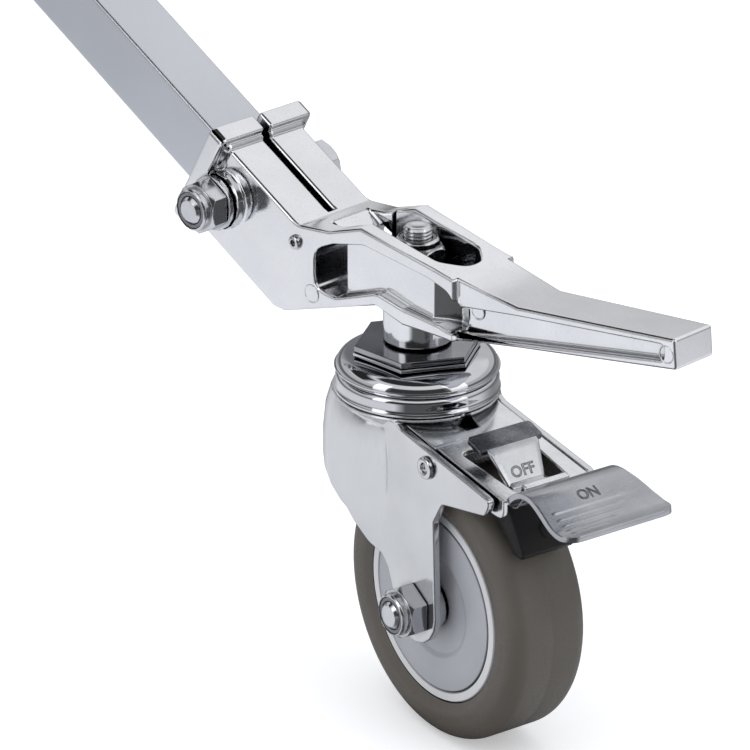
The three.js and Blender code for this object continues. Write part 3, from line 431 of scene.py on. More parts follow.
nylonLook = dict(
    plainMoulded, colour=(0.13, 0.135, 0.15, 1), otherColour=(0.17, 0.175, 0.19, 1),
    cornerShadeColour=(0.03, 0.03, 0.035, 1), fineScale=900, broadScale=90, roughLow=0.35, roughHigh=0.5, bump=0.08,
    shine=0.4,
)
tubeChrome = metalFinish("tubeChrome", tubeLook)
castChrome = metalFinish("castChrome", castLook)
forkZinc = metalFinish("forkZinc", zincLook)
leverZinc = metalFinish("leverZinc", leverLook)
mirrorChrome = metalFinish("mirrorChrome", mirrorLook)
hexChrome = metalFinish("hexChrome", hexLook)
fastenerZinc = metalFinish("fastenerZinc", fastenerLook)
pedalSteel = metalFinish("pedalSteel", pedalLook)
hiddenSteel = metalFinish("hiddenSteel", hiddenLook)
padSteel = metalFinish("padSteel", padLook)
tabSteel = metalFinish("tabSteel", tabLook)
stampShadeSteel = metalFinish("stampShadeSteel", stampShadeLook)
tyreRubber = mouldedFinish("tyreRubber", tyreLook)
rimPlastic = mouldedFinish("rimPlastic", rimLook)
coverPlastic = mouldedFinish("coverPlastic", coverLook)
shoePlastic = mouldedFinish("shoePlastic", shoeLook)
nylonRing = mouldedFinish("nylonRing", nylonLook)
slotMaterials = {
    "tube_satin_chrome": tubeChrome, "cast_light_alloy": castChrome, "bright_zinc": fastenerZinc,
    "mirror_chrome": mirrorChrome, "hidden_steel": hiddenSteel, "tyre_rubber": tyreRubber,
    "rim_grey": rimPlastic, "cover_blue_grey": coverPlastic, "shoe_black": shoePlastic,
    "insert_nylon": nylonRing, "pedal_grey": pedalSteel,
}
for node, cadObject in frame["nodes"].items():
    for materialSlot in cadObject.material_slots:
        materialSlot.material = slotMaterials[slotOf[node]]
print("stage: materials made")

# tube, casting and pressings: rounded copies
roundedCopy("leg_tube", "legTube", 1.6, 4, tubeChrome)
castCrease = {"rear": 14, "front": 38, "aside": 3, "upright": 0.9, "span": 3, "width": 3.5, "seam": 0.08}


# upright edges where the core's flat sides turn in to the nose
def onCastCrease(spots, normals):
    here = [kingpinFrame.inverted() @ spot / mm for spot in spots]
    along = here[1] - here[0]
    steep = abs(along.z) >= castCrease["upright"] * along.length
    if len(normals) != 2 or along.length < castCrease["span"] or not steep:
        return False
    return all(castCrease["rear"] < p.x < castCrease["front"] and abs(p.y) > castCrease["aside"] for p in here)


roundedCopy(
    "foot_casting", "footCasting", 1.1, 4, castChrome, onCastCrease, castCrease["width"], castCrease["seam"])
forkCrease = {"rear": 5, "front": 18, "plane": 21.4, "low": 44, "high": 113, "steep": 0.975, "shallow": 0.55,
              "width": 4.5, "seam": 0.05}


# the corner between the flat cheek and the round rear shell
def onForkCrease(spots, normals):
    here = [casterFrame.inverted() @ spot / mm for spot in spots]
    if len(normals) != 2 or not all(
            forkCrease["rear"] < p.x < forkCrease["front"] and abs(p.y) > forkCrease["plane"]
            and forkCrease["low"] < p.z < forkCrease["high"] for p in here):
        return False
    turns = sorted(abs(normal.dot(wheelAxis)) for normal in normals)
    return turns[1] > forkCrease["steep"] and forkCrease["shallow"] < turns[0] < forkCrease["steep"]


roundedCopy("fork", "forkPressing", 0.6, 3, forkZinc, onForkCrease, forkCrease["width"], forkCrease["seam"])
roundedCopy("brake_lever", "brakeLever", 0.5, 3, leverZinc, seam=0.05)
roundedCopy("hex_plate", "hexPlate", 0.25, 2, hexChrome)
roundedCopy("lock_plate", "lockPlate", 0.25, 2, mirrorChrome)
for node, name, width in (
    ("clamp_nut", "clampNut", 0.4), ("axle_nut", "axleNut", 0.4), ("stem_nut", "stemNut", 0.4),
    ("clamp_washer_near", "clampWasherNear", 0.35), ("clamp_washer_far", "clampWasherFar", 0.35),
    ("clamp_bolt", "clampBolt", 0.35), ("axle_bolt", "axleBolt", 0.35),
):
    roundedCopy(node, name, width, 2, fastenerZinc)
print("stage: rounded copies made")

# tyre with rounded shoulders, a moulding line round the tread and a bead at the rim: (over the bore, height)
tyreSize = {"radius": 50, "half": 16, "shoulder": 6.5, "shoulderSteps": 12, "flatStop": 2, "bore": 36.1,
            "bead": ((0, 14.3), (0.9, 14.8), (2.2, 15.5), (3.4, 16)), "line": 0.12, "lineHalf": 0.35,
            "steps": 160}


def makeTyre(size):
    corner = size["shoulder"]
    low, half = size["radius"] - corner, size["half"] - corner
    side = [(size["bore"] + over, height) for over, height in size["bead"]]
    side += [(low - size["flatStop"], size["half"])]
    side += reversed(arcPoints(low, half, corner, 0, 90, size["shoulderSteps"]))
    side += [(size["radius"], size["lineHalf"]), (size["radius"] - size["line"], 0)]
    profile = side + mirrored(side[:-1]) + [side[0]]
    tyre = spunPiece("tyreTread", profile, size["steps"], wheelFrame)
    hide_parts("tyre")
    finishPiece(tyre, ["tyre"], tyreRubber)


makeTyre(tyreSize)

# rim ring and hub covers
rimSize = {"radius": 35.9, "half": 14.3, "proud": 0.2, "lip": 0.6, "lean": 0.1, "seat": 32.1,
           "seatHalf": 12.9, "barrel": 30.4, "webHalf": 3, "hub": 18, "hubHalf": 12.1, "bore": 14.3,
           "boreHalf": 3.8, "inner": 12.4, "steps": 128}


def makeRim(size):
    brim, edge = size["half"] + size["proud"], size["half"] - size["lip"]
    side = [(size["inner"], size["boreHalf"]), (size["bore"], size["boreHalf"]),
            (size["bore"], size["hubHalf"]), (size["hub"], size["hubHalf"]),
            (size["hub"], size["webHalf"]), (size["barrel"], size["webHalf"]),
            (size["barrel"], size["seatHalf"]), (size["seat"], size["seatHalf"]),
            (size["seat"] + size["lean"], edge), (size["seat"] + size["lip"], brim),
            (size["radius"] - size["lip"], brim), (size["radius"], edge)]
    profile = side + mirrored(side) + [side[0]]
    rim = spunPiece("wheelRim", profile, size["steps"], wheelFrame)
    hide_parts("wheel_rim")
    finishPiece(rim, ["wheel_rim"], rimPlastic)


# the step down to the hub is (out from the hub, below the top)
coverSize = {"radius": 31.8, "top": 14.7, "floor": 13.2, "floorFrom": 19.2, "hub": 18, "foot": 12.4, "bore": 8,
             "boreEdge": 0.4, "step": ((2.4, 0), (1.6, 0.15), (0.8, 1.05), (0, 1.2)), "dish": 1.2,
             "round": 0.5, "roundMid": 0.15, "steps": 128}


def makeCover(name, node, size, matrix):
    top, dished, edge, middle = size["top"], size["top"] - size["dish"], size["round"], size["roundMid"]
    profile = [(size["bore"], size["foot"]), (size["hub"], size["foot"]), (size["floorFrom"], size["floor"]),
               (size["radius"], size["floor"]), (size["radius"], top - edge),
               (size["radius"] - middle, top - middle), (size["radius"] - edge, top)]
    profile += [(size["hub"] + over, top - down) for over, down in size["step"]]
    profile += [(size["bore"] + size["boreEdge"], dished), (size["bore"], dished - size["boreEdge"])]
    profile += [profile[0]]
    cover = spunPiece(name, profile, size["steps"], matrix)
    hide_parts(node)
    finishPiece(cover, [node], coverPlastic)


makeRim(rimSize)
makeCover("hubCoverNear", "hub_cover_near", coverSize, wheelFrame)
makeCover("hubCoverFar", "hub_cover_far", coverSize, wheelFrame @ Matrix.Rotation(math.pi, 4, "X"))
print("stage: wheel made")

# race cup: a lower lip and bulge round the balls, a groove, and a full round shoulder under a nearly flat top;
# wall and hollow are (in from the lip, over the floor), the dome is (radius, below the top)
cupSize = {
    "floor": 117.3, "top": 131.0, "bore": 5.4, "sheet": 2.2, "steps": 192, "lip": 29.0, "lipRound": 1.0,
    "wall": ((0.55, 2.2), (0.5, 3.2)), "bulge": 2.4, "bulgeIn": 0.5,
    "groove": 27.3, "grooveLow": 124.4, "grooveHigh": 125.4, "grooveFoot": 0.15, "grooveCut": 0.2,
    "ring": 0.75, "ringIn": 0.15, "shoulder": 5, "shoulderIn": 0.55, "shoulderDrop": 0.5,
    "dome": ((20, 0.12), (12, 0)), "hollow": ((8.4, 11), (5.4, 9.1), (4.4, 6.1), (3, 3), (3, 0), (1, 0)),
}


def makeRaceCup(size):
    lip, floor, top, low, high = (size[key] for key in ("lip", "floor", "top", "grooveLow", "grooveHigh"))
    edge, bulge, ring, full = (size[key] for key in ("lipRound", "bulge", "ring", "shoulder"))
    profile = arcPoints(lip - edge, floor + edge, edge, -90, 40, 6)
    profile += [(lip - inward, floor + over) for inward, over in size["wall"]]
    profile += arcPoints(lip - size["bulgeIn"] - bulge, low - bulge, bulge, 0, 78, 10)
    profile += [(size["groove"] + size["grooveFoot"], low), (size["groove"], low + size["grooveCut"]),
                (size["groove"], high - size["grooveCut"])]
    profile += arcPoints(lip - size["ringIn"] - ring, high + ring, ring, -120, 10, 6)
    profile += arcPoints(lip - size["shoulderIn"] - full, top - size["shoulderDrop"] - full, full, 8, 82, 16)
    profile += [(radius, top - down) for radius, down in size["dome"]]
    profile += [(size["bore"], top), (size["bore"], top - size["sheet"])]
    profile += [(lip - inward, floor + over) for inward, over in size["hollow"]]
    cup = spunPiece("raceCup", profile, size["steps"], kingpinFrame)
    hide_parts("race_cup")
    finishPiece(cup, ["race_cup"], mirrorChrome)


makeRaceCup(cupSize)
print("stage: race cup made")


# a flat sheet on the caster gets its thickness downwards and rounded edges
def pressed(sheet, thickness, edge, material, nodes):
    applyModifier(sheet, "SOLIDIFY", thickness=thickness * mm, offset=-1, use_even_offset=True)
    inEditMode(sheet, lambda: bpy.ops.mesh.normals_make_consistent(inside=False))
    roundEdges(sheet, edge, 3)
    smooth(sheet, 35)
    place(sheet, casterFrame)
    return finishPiece(sheet, nodes, material)


# pressed sheet: rows across the piece as (forward, height, low side, high side) and, if any, its lift by side
def pressedPlate(name, rows, across, thickness, material, nodes, edge=0.35):
    bpy.ops.mesh.primitive_grid_add(x_subdivisions=len(rows) - 1, y_subdivisions=across, size=2)
    plate = justAdded(name)
    for corner in plate.data.vertices:
        row = rows[round((corner.co.x + 1) / 2 * (len(rows) - 1))]
        side = row[2] + (row[3] - row[2]) * (corner.co.y + 1) / 2
        lift = row[4](side) if len(row) > 4 else 0
        corner.co = (row[0] * mm, side * mm, (row[1] + lift) * mm)
    return pressed(plate, thickness, edge, material, nodes)


# a short round bar on local Z
def roundBar(name, radius, half, sides, edge, segments, matrix):
    bpy.ops.mesh.primitive_cylinder_add(vertices=sides, radius=radius * mm, depth=2 * half * mm)
    bar = justAdded(name)
    roundEdges(bar, edge, segments)
    smooth(bar)
    place(bar, matrix)
    return bar


# how far a rounded corner draws the side in, at some way from the end
def drawnIn(reach, corner):
    if reach >= corner:
        return 0
    return corner - math.sqrt(max(0, corner ** 2 - (corner - reach) ** 2))


# heights through given points without corners
def throughPoints(points, place):
    i = max(k for k in range(len(points) - 1) if points[k][0] <= place or k == 0)
    (a, p1), (b, p2) = points[i], points[i + 1]
    before = points[i - 1] if i else (2 * a - b, 2 * p1 - p2)
    after = points[i + 2] if i + 2 < len(points) else (2 * b - a, 2 * p2 - p1)
    span = b - a
    m1 = (p2 - before[1]) / (b - before[0]) * span
    m2 = (after[1] - p1) / (after[0] - a) * span
    t = (place - a) / span
    return ((2 * t ** 3 - 3 * t * t + 1) * p1 + (t ** 3 - 2 * t * t + t) * m1
            + (3 * t * t - 2 * t ** 3) * p2 + (t ** 3 - t * t) * m2)


# the lever's sheet runs on behind its pin, cut round to clear the crown's neck and notched for a rivet
apronSize = {"front": 37.5, "half": 19.2, "clear": 26.4, "sheet": 0.9, "edge": 0.3, "proud": 0.06, "tip": 73,
             "tipTop": 106.98, "slope": 0.15124, "along": 16, "across": 80,
             "notch": 32.8, "notchHalf": 2.7, "notchFoot": 4.2}


def makeApron(size):
    bpy.ops.mesh.primitive_grid_add(x_subdivisions=size["along"], y_subdivisions=size["across"], size=2)
    apron = justAdded("leverApron")
    for corner in apron.data.vertices:
        side = corner.co.y * size["half"]
        rear = math.sqrt(size["clear"] ** 2 - side ** 2)
        inside = min(1, max(0, (size["notchFoot"] - abs(side)) / (size["notchFoot"] - size["notchHalf"])))
        rear += (size["notch"] - rear) * (3 * inside ** 2 - 2 * inside ** 3)
        forward = rear + (size["front"] - rear) * (corner.co.x + 1) / 2
        height = size["tipTop"] + (size["tip"] - forward) * size["slope"] + size["proud"]
        corner.co = (forward * mm, side * mm, height * mm)
    pressed(apron, size["sheet"], size["edge"], leverZinc, ["brake_lever"])


makeApron(apronSize)

# foot pedal: a sheet pressed to a hump, with rounded corners and five fine grip lines
pedalSize = {
    "rear": 75.3, "length": 38.4, "sheet": 2, "rows": 44, "across": 44,
    "heights": ((75.3, 105.6), (77, 107.9), (79, 110.0), (82, 112.3), (85.4, 113.8), (90.5, 114.4),
                (94.4, 113.5), (98.3, 111.6), (102.2, 109.3), (106, 107.9), (109.8, 107.7), (113.7, 108.1)),
    "farHalves": ((75.3, 19.5), (85, 20), (92, 20), (97, 21.6), (100.5, 23), (104, 24.2), (107.5, 24.5),
                  (113.7, 24.5)),
    "nearHalves": ((75.3, 19), (85, 19.6), (95, 20.4), (104, 20.8), (113.7, 20.8)),
    "corner": 5.5, "rearCorner": 3.5, "cornerTurns": (8, 20, 34, 50, 68, 90),
    "gripFirst": 99.6, "gripPitch": 2.5, "gripCount": 5, "gripHeight": 0.32, "gripHalf": 0.55,
    "gripRows": (-1, -0.5, 0, 0.5, 1), "gripNear": -16, "gripFar": (12, 10, 8, 3, -2),
}


def pedalHeight(size, forward):
    return throughPoints(size["heights"], min(size["rear"] + size["length"], max(size["rear"], forward)))


def makePedal(size):
    front = size["rear"] + size["length"]
    places = [size["rear"] + size["length"] * i / size["rows"] for i in range(size["rows"] + 1)]
    for turn in size["cornerTurns"]:
        short = 1 - math.sin(math.radians(turn))
        places += [front - size["corner"] * short, size["rear"] + size["rearCorner"] * short]
    grips = [size["gripFirst"] + size["gripPitch"] * i for i in range(size["gripCount"])]
    for grip in grips:
        places += [grip + size["gripHalf"] * step for step in size["gripRows"]]
    rows = []
    for p in sorted({round(p, 2) for p in places if size["rear"] <= p <= front}):
        inset = max(drawnIn(front - p, size["corner"]), drawnIn(p - size["rear"], size["rearCorner"]))
        near, far = throughPoints(size["nearHalves"], p) - inset, throughPoints(size["farHalves"], p) - inset
        grip = min(range(len(grips)), key=lambda i: abs(grips[i] - p))
        aside = min(1, abs(grips[grip] - p) / size["gripHalf"])
        crest = max(0, math.cos(aside * math.pi / 2)) * size["gripHeight"]
        stop = size["gripFar"][grip]
        lift = (lambda side, crest=crest, stop=stop: crest if size["gripNear"] < side < stop else 0)
        rows.append((p, pedalHeight(size, p), -near, far, lift))
    pedal = pressedPlate("brakePedal", rows, size["across"], size["sheet"], pedalSteel, ["brake_pedal"])
    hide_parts("brake_pedal")


makePedal(pedalSize)

# tongue that carries the pedal on the lever
tongueSize = {"rear": 67, "front": 78.5, "half": 14, "sheet": 2, "rows": 24, "across": 8,
              "line": ((67, 105.6), (70, 105.15), (73, 104.6), (75.3, 105.0), (77, 107.3), (78.5, 109.0))}


def makeTongue(size):
    step = (size["front"] - size["rear"]) / size["rows"]
    places = [size["rear"] + step * i for i in range(size["rows"] + 1)]
    rows = [(x, throughPoints(size["line"], x), -size["half"], size["half"]) for x in places]
    pressedPlate("pedalTongue", rows, size["across"], size["sheet"], pedalSteel, ["brake_pedal"])


makeTongue(tongueSize)

# release tab: a flat thumb pad and a narrower face folded down to the hub; the fold is given from its front
tabSize = {
    "across": 10, "padSheet": 2, "padHalf": 13.1, "padRear": (46.9, 118.3), "padFront": (54.9, 115.9),
    "padRows": (0, 0.15, 0.45, 0.9, 1.6, 3, 4.5, 6), "padCorner": 1.6, "padEdge": 0.45,
    "padEndRows": (1.2, 0.5, 0.15, 0), "padEndCorner": 0.9,
    "fold": ((-2.6, 0.72), (-1, 0.22), (0, -0.06), (0.75, -0.5)), "faceSheet": 1.8, "faceEdge": 0.4,
    "faceTop": (56.2, 115.0), "faceTopHalf": 10.4, "faceLow": (63.8, 104.5), "faceLowHalf": 7.6,
    "faceRows": (0, 0.1, 0.2, 0.35, 0.5, 0.65, 0.8, 0.9, 1),
    "hub": (62.5, 0, 102.5), "hubRadius": 3.1, "hubHalf": 7, "hubSides": 48, "hubEdge": 0.5,
}


def makeReleaseTab(size):
    (rearX, rearZ), (frontX, frontZ) = size["padRear"], size["padFront"]
    way = Vector((frontX - rearX, frontZ - rearZ))
    length = way.length
    way.normalize()
    rows = []
    for reach in size["padRows"] + tuple(length - rest for rest in size["padEndRows"]):
        inset = max(drawnIn(reach, size["padCorner"]), drawnIn(length - reach, size["padEndCorner"]))
        half = size["padHalf"] - inset
        rows.append((rearX + way.x * reach, rearZ + way.y * reach, -half, half))
    pad = pressedPlate(
        "releasePad", rows, size["across"], size["padSheet"], padSteel, ["release_tab"], size["padEdge"])
    (topX, topZ), (lowX, lowZ) = size["faceTop"], size["faceLow"]
    rows = [(frontX + x, frontZ + z, -size["faceTopHalf"], size["faceTopHalf"]) for x, z in size["fold"]]
    for share in size["faceRows"]:
        half = size["faceTopHalf"] + (size["faceLowHalf"] - size["faceTopHalf"]) * share
        rows.append((topX + (lowX - topX) * share, topZ + (lowZ - topZ) * share, -half, half))
    pressedPlate(
        "releaseFace", rows, size["across"], size["faceSheet"], tabSteel, ["release_tab"], size["faceEdge"])
    hub = roundBar("releaseHub", size["hubRadius"], size["hubHalf"], size["hubSides"], size["hubEdge"], 2,
                   acrossAt(casterFrame, *size["hub"]))
    finishPiece(hub, ["release_tab"], tabSteel)
    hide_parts("release_tab")


makeReleaseTab(tabSize)
print("stage: pedal and release tab made")


# a rivet's or screw's head from the middle out: mouthLine is (out from the mouth, below the face) and headLine
# (in from the rim, below the face)
def headProfile(size):
    outward = [(0, size["face"] - size["depth"])]
    outward += [(size["mouth"] + over, size["face"] - down) for over, down in size["mouthLine"]]
    outward += [(size["head"] - inward, size["face"] - down) for inward, down in size["headLine"]]
    return outward + [(size["head"], size["under"]), (size["shank"], size["under"])]


# brake pin: a tubular rivet with rolled heads
pinSize = {"at": (37.3, 0, 106.08), "shank": 3, "head": 4, "under": 22.8, "face": 24.3,
           "mouth": 1.9, "depth": 1.3, "mouthLine": ((-0.2, 1.3), (0, 1), (0.1, 0.35), (0.45, 0.05)),
           "headLine": ((1.1, 0), (0.35, 0.25), (0, 0.8)), "steps": 48}


def makeBrakePin(size):
    half = headProfile(size)
    pin = spunPiece("brakePin", half + mirrored(half), size["steps"], acrossAt(casterFrame, *size["at"]))
    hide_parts("brake_pin")
    finishPiece(pin, ["brake_pin"], fastenerZinc)


makeBrakePin(pinSize)

# side screw: a pan head with a socket, and the shank that holds the sleeve
screwSize = {"at": (-41.52, 0, 164.51), "shank": 1.5, "inner": 14, "head": 2.6, "under": 17.6, "face": 19.4,
             "mouth": 1.15, "depth": 1.2, "mouthLine": ((0, 1.1), (0, 0.12), (0.15, 0)),
             "headLine": ((0.8, 0.06), (0.25, 0.4), (0, 1)), "steps": 48}


def makeSideScrew(size):
    profile = headProfile(size) + [(size["shank"], size["inner"]), (0, size["inner"])]
    screw = spunPiece("sideScrew", profile, size["steps"], acrossAt(kingpinFrame, *size["at"]))
    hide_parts("side_screw")
    finishPiece(screw, ["side_screw"], fastenerZinc)


makeSideScrew(screwSize)

# kingpin: a flat head under the casting and a threaded end over its nut; a turn of thread is
# (in from the shank, over its crest) and the end is (in from the shank, below the top)
kingpinSize = {"headFoot": 97.5, "headTop": 100.1, "head": 8, "headRound": 0.8, "shank": 5, "threadFoot": 171.2,
               "top": 177.2, "pitch": 1.25, "thread": ((0.55, -0.18), (0.55, -0.02), (0, 0.42), (0, 0.6)),
               "chamfer": 1.1, "end": ((0.77, 0.1), (1.1, 0), (2.6, 0), (3, 0.18), (5, 0.2)), "steps": 64}


def makeKingpin(size):
    foot, head, shank = size["headFoot"], size["head"], size["shank"]
    profile = [(0, foot), (head - size["headRound"], foot), (head, foot + size["headRound"]),
               (head, size["headTop"]), (shank, size["headTop"]), (shank, size["threadFoot"])]
    crest = size["threadFoot"] + size["pitch"] / 2
    while crest < size["top"] - size["chamfer"]:
        profile += [(shank - inward, crest + over) for inward, over in size["thread"]]
        crest += size["pitch"]
    profile += [(shank - inward, size["top"] - down) for inward, down in size["end"]]
    pin = spunPiece("kingpinBolt", profile, size["steps"], kingpinFrame)
    smooth(pin, 25)
    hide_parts("kingpin")
    finishPiece(pin, ["kingpin"], fastenerZinc)


makeKingpin(kingpinSize)
print("stage: pins and screws made")

# round ejector marks flush in the casting's near faces: a fine raised ring each, at (x, y, z) with a radius
markSize = {"wire": 0.28, "around": 48, "section": 10, "spots": {
    "legMark": (-34.2, -17.45, 147.2, 3.2), "noseMark": (120.4, -9.25, 167.6, 2.9),
    "grooveMark": (37.2, -9.28, 158.6, 2.7)}}


def makeMark(name, size, x, y, z, radius):
    bpy.ops.mesh.primitive_torus_add(
        major_radius=radius * mm, minor_radius=size["wire"] * mm,
        major_segments=size["around"], minor_segments=size["section"],
    )
    ring = justAdded(name)
    smooth(ring)
    place(ring, acrossAt(kingpinFrame, x, y, z))
    finishPiece(ring, ["foot_casting"], castChrome)


for name, spot in markSize["spots"].items():
    makeMark(name, markSize, *spot)
print("stage: marks made")

# stamped outline letters laid on a pressed face, as dark strokes that paint the shade of the stamped lines
stampSize = {"stroke": 0.17, "cuts": 5}
pedalStamp = {"word": "ON", "size": 5.4, "forward": 96.2, "aside": 0.5}
tabStamp = {"word": "OFF", "size": 5.6, "forward": 8.5, "aside": 0}


def stampedWord(name, values, heightAt, node):
    bpy.ops.object.text_add()
    text = justAdded(name)
    text.data.body = values["word"]
    text.data.size = values["size"] * mm
    text.data.align_x = "CENTER"
    text.data.align_y = "CENTER"
    text.data.fill_mode = "NONE"
    text.data.bevel_depth = stampSize["stroke"] * mm
    text.data.bevel_resolution = 1
    text.data.resolution_u = 3
    pickOnly(text)
    bpy.ops.object.convert(target="MESH")
    text = bpy.context.object
    inEditMode(text, lambda: bpy.ops.mesh.subdivide(number_cuts=stampSize["cuts"]))
    spot = Matrix.Translation((values["forward"] * mm, values["aside"] * mm, 0))
    spot = spot @ Matrix.Rotation(math.pi / 2, 4, "Z")
    for corner in text.data.vertices:
        corner.co = heightAt(spot @ Vector((corner.co.x, corner.co.y, 0)), corner.co.z)
    smooth(text, 60)
    place(text, casterFrame)
    finishPiece(text, [node], stampShadeSteel)


def onPedal(flat, proud):
    return Vector((flat.x, flat.y, pedalHeight(pedalSize, flat.x / mm) * mm + proud))


def onTabFace(flat, proud):
    (topX, topZ), (lowX, lowZ) = tabSize["faceTop"], tabSize["faceLow"]
    way = Vector((lowX - topX, 0, lowZ - topZ)).normalized()
    out = Vector((-way.z, 0, way.x))
    spot = Vector((topX, 0, topZ)) * mm + way * flat.x + out * proud
    return Vector((spot.x, flat.y, spot.z))


stampedWord("pedalWord", pedalStamp, onPedal, "brake_pedal")
stampedWord("tabWord", tabStamp, onTabFace, "release_tab")
print("stage: words stamped")

# brake shoe: a block whose front follows the tyre, with a low round boss on one of its sides
shoeSize = {"half": 11, "round": 0.9,
            "line": ((57.5, 102.1), (66.6, 102.1), (68.4, 98.5), (72.5, 92), (76.6, 84.6), (74.9, 82.6),
                     (70.4, 83.2), (65.5, 89.2), (57.5, 95.7)),
            "boss": 3.2, "bossProud": 0.6, "bossEdge": 0.4, "bossSides": 40, "bossAt": (73.2, 1.5, 90.7),
            "bossLine": 3}


def makeShoe(size):
    mesh = bpy.data.meshes.new("brakeShoe")
    spots = [(x * mm, -size["half"] * mm, z * mm) for x, z in size["line"]]
    mesh.from_pydata(spots, [], [list(range(len(spots)))])
    shoe = linkedPiece("brakeShoe", mesh)
    across = {"value": (0, 2 * size["half"] * mm, 0)}
    inEditMode(
        shoe,
        lambda: bpy.ops.mesh.extrude_region_move(TRANSFORM_OT_translate=across),
        lambda: bpy.ops.mesh.normals_make_consistent(inside=False),
    )
    roundEdges(shoe, size["round"], 4, 20)
    smooth(shoe, 35)
    place(shoe, casterFrame)
    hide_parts("brake_shoe")
    finishPiece(shoe, ["brake_shoe"], shoePlastic)
    (highX, highZ), (lowX, lowZ) = size["line"][size["bossLine"]:size["bossLine"] + 2]
    tilt = Matrix.Rotation(math.atan2(highZ - lowZ, lowX - highX), 4, "Y")
    spot = Matrix.Translation(Vector(size["bossAt"]) * mm)
    boss = roundBar("shoeBoss", size["boss"], size["bossProud"], size["bossSides"], size["bossEdge"], 3,
                    casterFrame @ spot @ tilt)
    finishPiece(boss, ["brake_shoe"], shoePlastic)


makeShoe(shoeSize)
print("stage: brake shoe made")

# camera at the photograph's angle
cameraView = {"azimuth": 44.68256476, "elevation": 23.06515805, "right": 14.646, "up": -111.867,
              "distance": 1500, "focalPixels": 4197.979, "pictureSide": 750, "sensor": 36,
              "clipNear": 0.05, "clipFar": 30}


def makeCamera(view):
    a, e = math.radians(view["azimuth"]), math.radians(view["elevation"])
    back = Vector((math.sin(a) * math.cos(e), -math.cos(a) * math.cos(e), math.sin(e)))
    right = Vector((math.cos(a), math.sin(a), 0))
    up = back.cross(right)
    bpy.ops.object.camera_add()
    camera = justAdded("photoCamera")
    spot = kingpinFrame.translation + (-view["right"] * right - view["up"] * up + view["distance"] * back) * mm
    camera.matrix_world = frameAt(spot, right, up, back)
    camera.data.sensor_width = view["sensor"]
    camera.data.lens = view["focalPixels"] / view["pictureSide"] * view["sensor"]
    camera.data.clip_start = view["clipNear"]
    camera.data.clip_end = view["clipFar"]
    bpy.context.scene.camera = camera


makeCamera(cameraView)


# light that metal or glass sends on: one for such rays, nothing for all others
def fromMetal(tree, path):
    return mathOf(tree, "MAXIMUM", path.outputs["Is Glossy Ray"], path.outputs["Is Transmission Ray"])


# how far a way lies towards a compass angle: 1 straight towards it, -1 straight away
def towards(tree, way, degrees):
    turn = math.radians(degrees)
    level = vectorOf(tree, "NORMALIZE", vectorOf(tree, "MULTIPLY", way, (1, 1, 0)))
    return vectorOf(tree, "DOT_PRODUCT", level, (math.cos(turn), math.sin(turn), 0), output="Value")


# floor, lamps and the pale surround
floorSize = {"side": 6, "drop": 0.0004, "colour": (0.80, 0.81, 0.84, 1), "rough": 0.9,
             "lift": 0.07, "seenLift": 0.34,
             "darkWay": 110, "darkShare": 0.35, "darkFrom": 0.35, "darkTo": 0.9,
             "frontWay": 320, "frontShare": 0.1, "frontFrom": 0.8, "frontTo": 0.93,
             "nearReach": 0.42, "farReach": 0.8, "farShare": 0.75,
             "footReach": 0.14, "footShare": 0.15, "footShut": 0.3, "footOpen": 0.8}


# the floor is plain white to the eye; metal sees it darker behind, before the camera and far out, and with a
# painted shadow at the foot
def makeFloor(size):
    bpy.ops.mesh.primitive_grid_add(
        x_subdivisions=2, y_subdivisions=2, size=size["side"], location=(0, 0, floorZ - size["drop"]))
    floor = justAdded("studioFloor")
    material, tree, shader = newMaterial("paleFloor")
    path = addNode(tree, "ShaderNodeLightPath")
    coords = addNode(tree, "ShaderNodeTexCoord")
    centred = addNode(tree, "ShaderNodeMapping", {
        "Vector": coords.outputs["Object"], "Location": (-kingpinX, 0, 0)}).outputs["Vector"]
    away = vectorOf(tree, "LENGTH", vectorOf(tree, "MULTIPLY", centred, (1, 1, 0)), output="Value")
    bySide = mapped(tree, towards(tree, centred, size["darkWay"]), 1, size["darkShare"],
                    size["darkFrom"], size["darkTo"], interpolation_type="SMOOTHSTEP")
    byFront = mapped(tree, towards(tree, centred, size["frontWay"]), 1, size["frontShare"],
                     size["frontFrom"], size["frontTo"])
    byReach = mapped(tree, away, 1, size["farShare"], size["nearReach"], size["farReach"],
                     interpolation_type="SMOOTHSTEP")
    # painted shadow round the object's foot, seen only by metal
    byFoot = openness(tree, size["footReach"], size["footShut"], size["footOpen"], size["footShare"], 6)
    share = bySide
    for part in (byReach, byFront, byFoot):
        share = mathOf(tree, "MULTIPLY", share, part)
    inMetal = fromMetal(tree, path)
    level = mixedColour(tree, inMetal, (1, 1, 1, 1), share)
    tree.links.new(mixedColour(tree, 1.0, size["colour"], level, "MULTIPLY"), shader.inputs["Base Color"])
    shader.inputs["Roughness"].default_value = size["rough"]
    lift = mathOf(tree, "MULTIPLY", inMetal, size["lift"])
    glow = mathOf(tree, "MULTIPLY_ADD", path.outputs["Is Camera Ray"], size["seenLift"], lift)
    tree.links.new(level, shader.inputs["Emission Color"])
    tree.links.new(glow, shader.inputs["Emission Strength"])
    floor.data.materials.append(material)
    place(floor, Matrix.Translation(floor.location))
    floor.location = (0, 0, 0)


makeFloor(floorSize)

lamps = {
    "topSoft": {"place": (0.1, -0.1, 1.3), "size": (1.6, 1.6), "power": 8, "inMetal": False},
    "leftStrip": {"place": (-0.2, -1.3, 0.55), "size": (0.5, 1.2), "power": 2.5},
    "rightSoft": {"place": (1.3, 0.3, 0.6), "size": (0.7, 1.4), "power": 3},
    "frontLow": {"place": (0.7, -1.4, 0.1), "size": (1.2, 0.6), "power": 2, "inMetal": False},
}
aimPoint = Vector((kingpinX, 0, floorZ + 0.11))



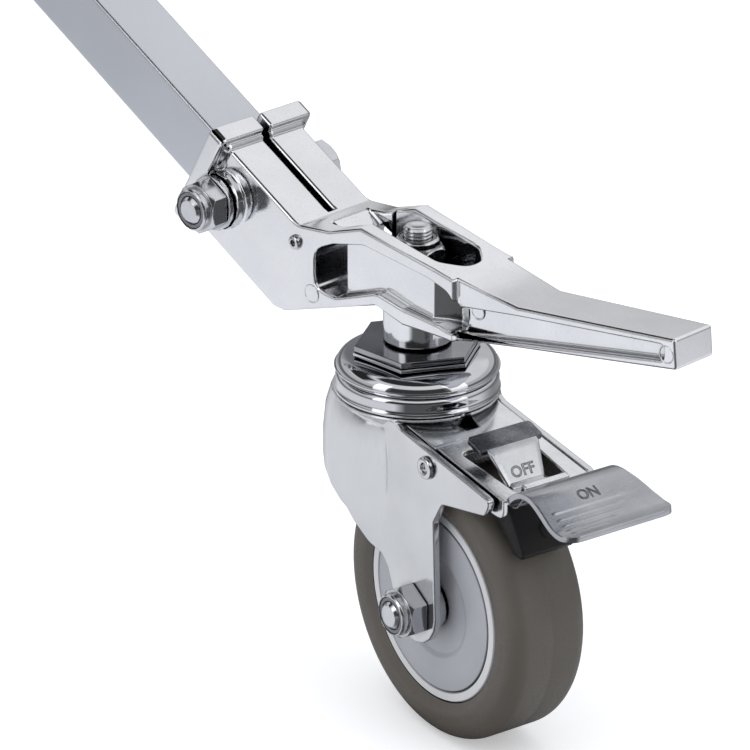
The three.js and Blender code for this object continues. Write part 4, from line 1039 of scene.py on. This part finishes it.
def makeLamp(name, values):
    bpy.ops.object.light_add(type="AREA", location=aimPoint + Vector(values["place"]))
    lamp = justAdded(name)
    lamp.data.shape = "RECTANGLE"
    lamp.data.size, lamp.data.size_y = values["size"]
    lamp.data.energy = values["power"]
    lamp.visible_glossy = values.get("inMetal", True)
    lamp.rotation_euler = (aimPoint - lamp.location).to_track_quat("-Z", "Y").to_euler()


for name, values in lamps.items():
    makeLamp(name, values)

# a white surround; metal also sees bands by height, dark overhead, and dim gaps between the soft lights and
# round the camera
worldLook = {
    "fill": 0.75, "blue": 1.01,
    "stops": ((0.0, 0.9), (0.47, 0.9), (0.495, 0.2), (0.575, 0.2), (0.605, 0.68), (0.705, 0.7), (0.735, 0.95),
              (0.77, 1.0), (0.925, 1.0), (0.95, 0.04), (1.0, 0.04)),
    "gaps": ({"way": 190, "from": 0.7, "to": 0.85, "low": (0.47, 0.53), "high": (0.78, 0.84), "level": 0.03},
             {"way": 315, "from": 0.6, "to": 0.8, "low": (-0.02, 0.05), "high": (0.5, 0.58), "level": 0.06}),
}


def plainGrey(level):
    return (level, level, level, 1)


def makeWorld(look):
    world = bpy.data.worlds.new("paleSurround")
    bpy.context.scene.world = world
    world.use_nodes = True
    tree = world.node_tree
    path = addNode(tree, "ShaderNodeLightPath")
    way = addNode(tree, "ShaderNodeTexCoord").outputs["Generated"]
    rise = addNode(tree, "ShaderNodeSeparateXYZ", {"Vector": way}).outputs["Z"]
    bands = addNode(tree, "ShaderNodeValToRGB", {"Fac": mapped(tree, rise, 0, 1, -1, 1)})
    bands.color_ramp.interpolation = "EASE"
    stops = bands.color_ramp.elements
    while len(stops) < len(look["stops"]):
        stops.new(0.5)
    for stop, (position, level) in zip(stops, look["stops"]):
        stop.position = position
        stop.color = (level, level, level * look["blue"], 1)
    seen = bands.outputs["Color"]
    for gap in look["gaps"]:
        sideways = mapped(tree, towards(tree, way, gap["way"]), 0, 1, gap["from"], gap["to"])
        risen, topped = mapped(tree, rise, 0, 1, *gap["low"]), mapped(tree, rise, 1, 0, *gap["high"])
        tall = mathOf(tree, "MULTIPLY", risen, topped)
        seen = mixedColour(tree, mathOf(tree, "MULTIPLY", tall, sideways), seen, plainGrey(gap["level"]))
    lit = mixedColour(tree, fromMetal(tree, path), plainGrey(look["fill"]), seen)
    white = mixedColour(tree, path.outputs["Is Camera Ray"], lit, plainGrey(1))
    tree.links.new(white, tree.nodes["Background"].inputs["Color"])


makeWorld(worldLook)
bpy.context.scene.view_settings.view_transform = "Standard"
print("stage: studio made")
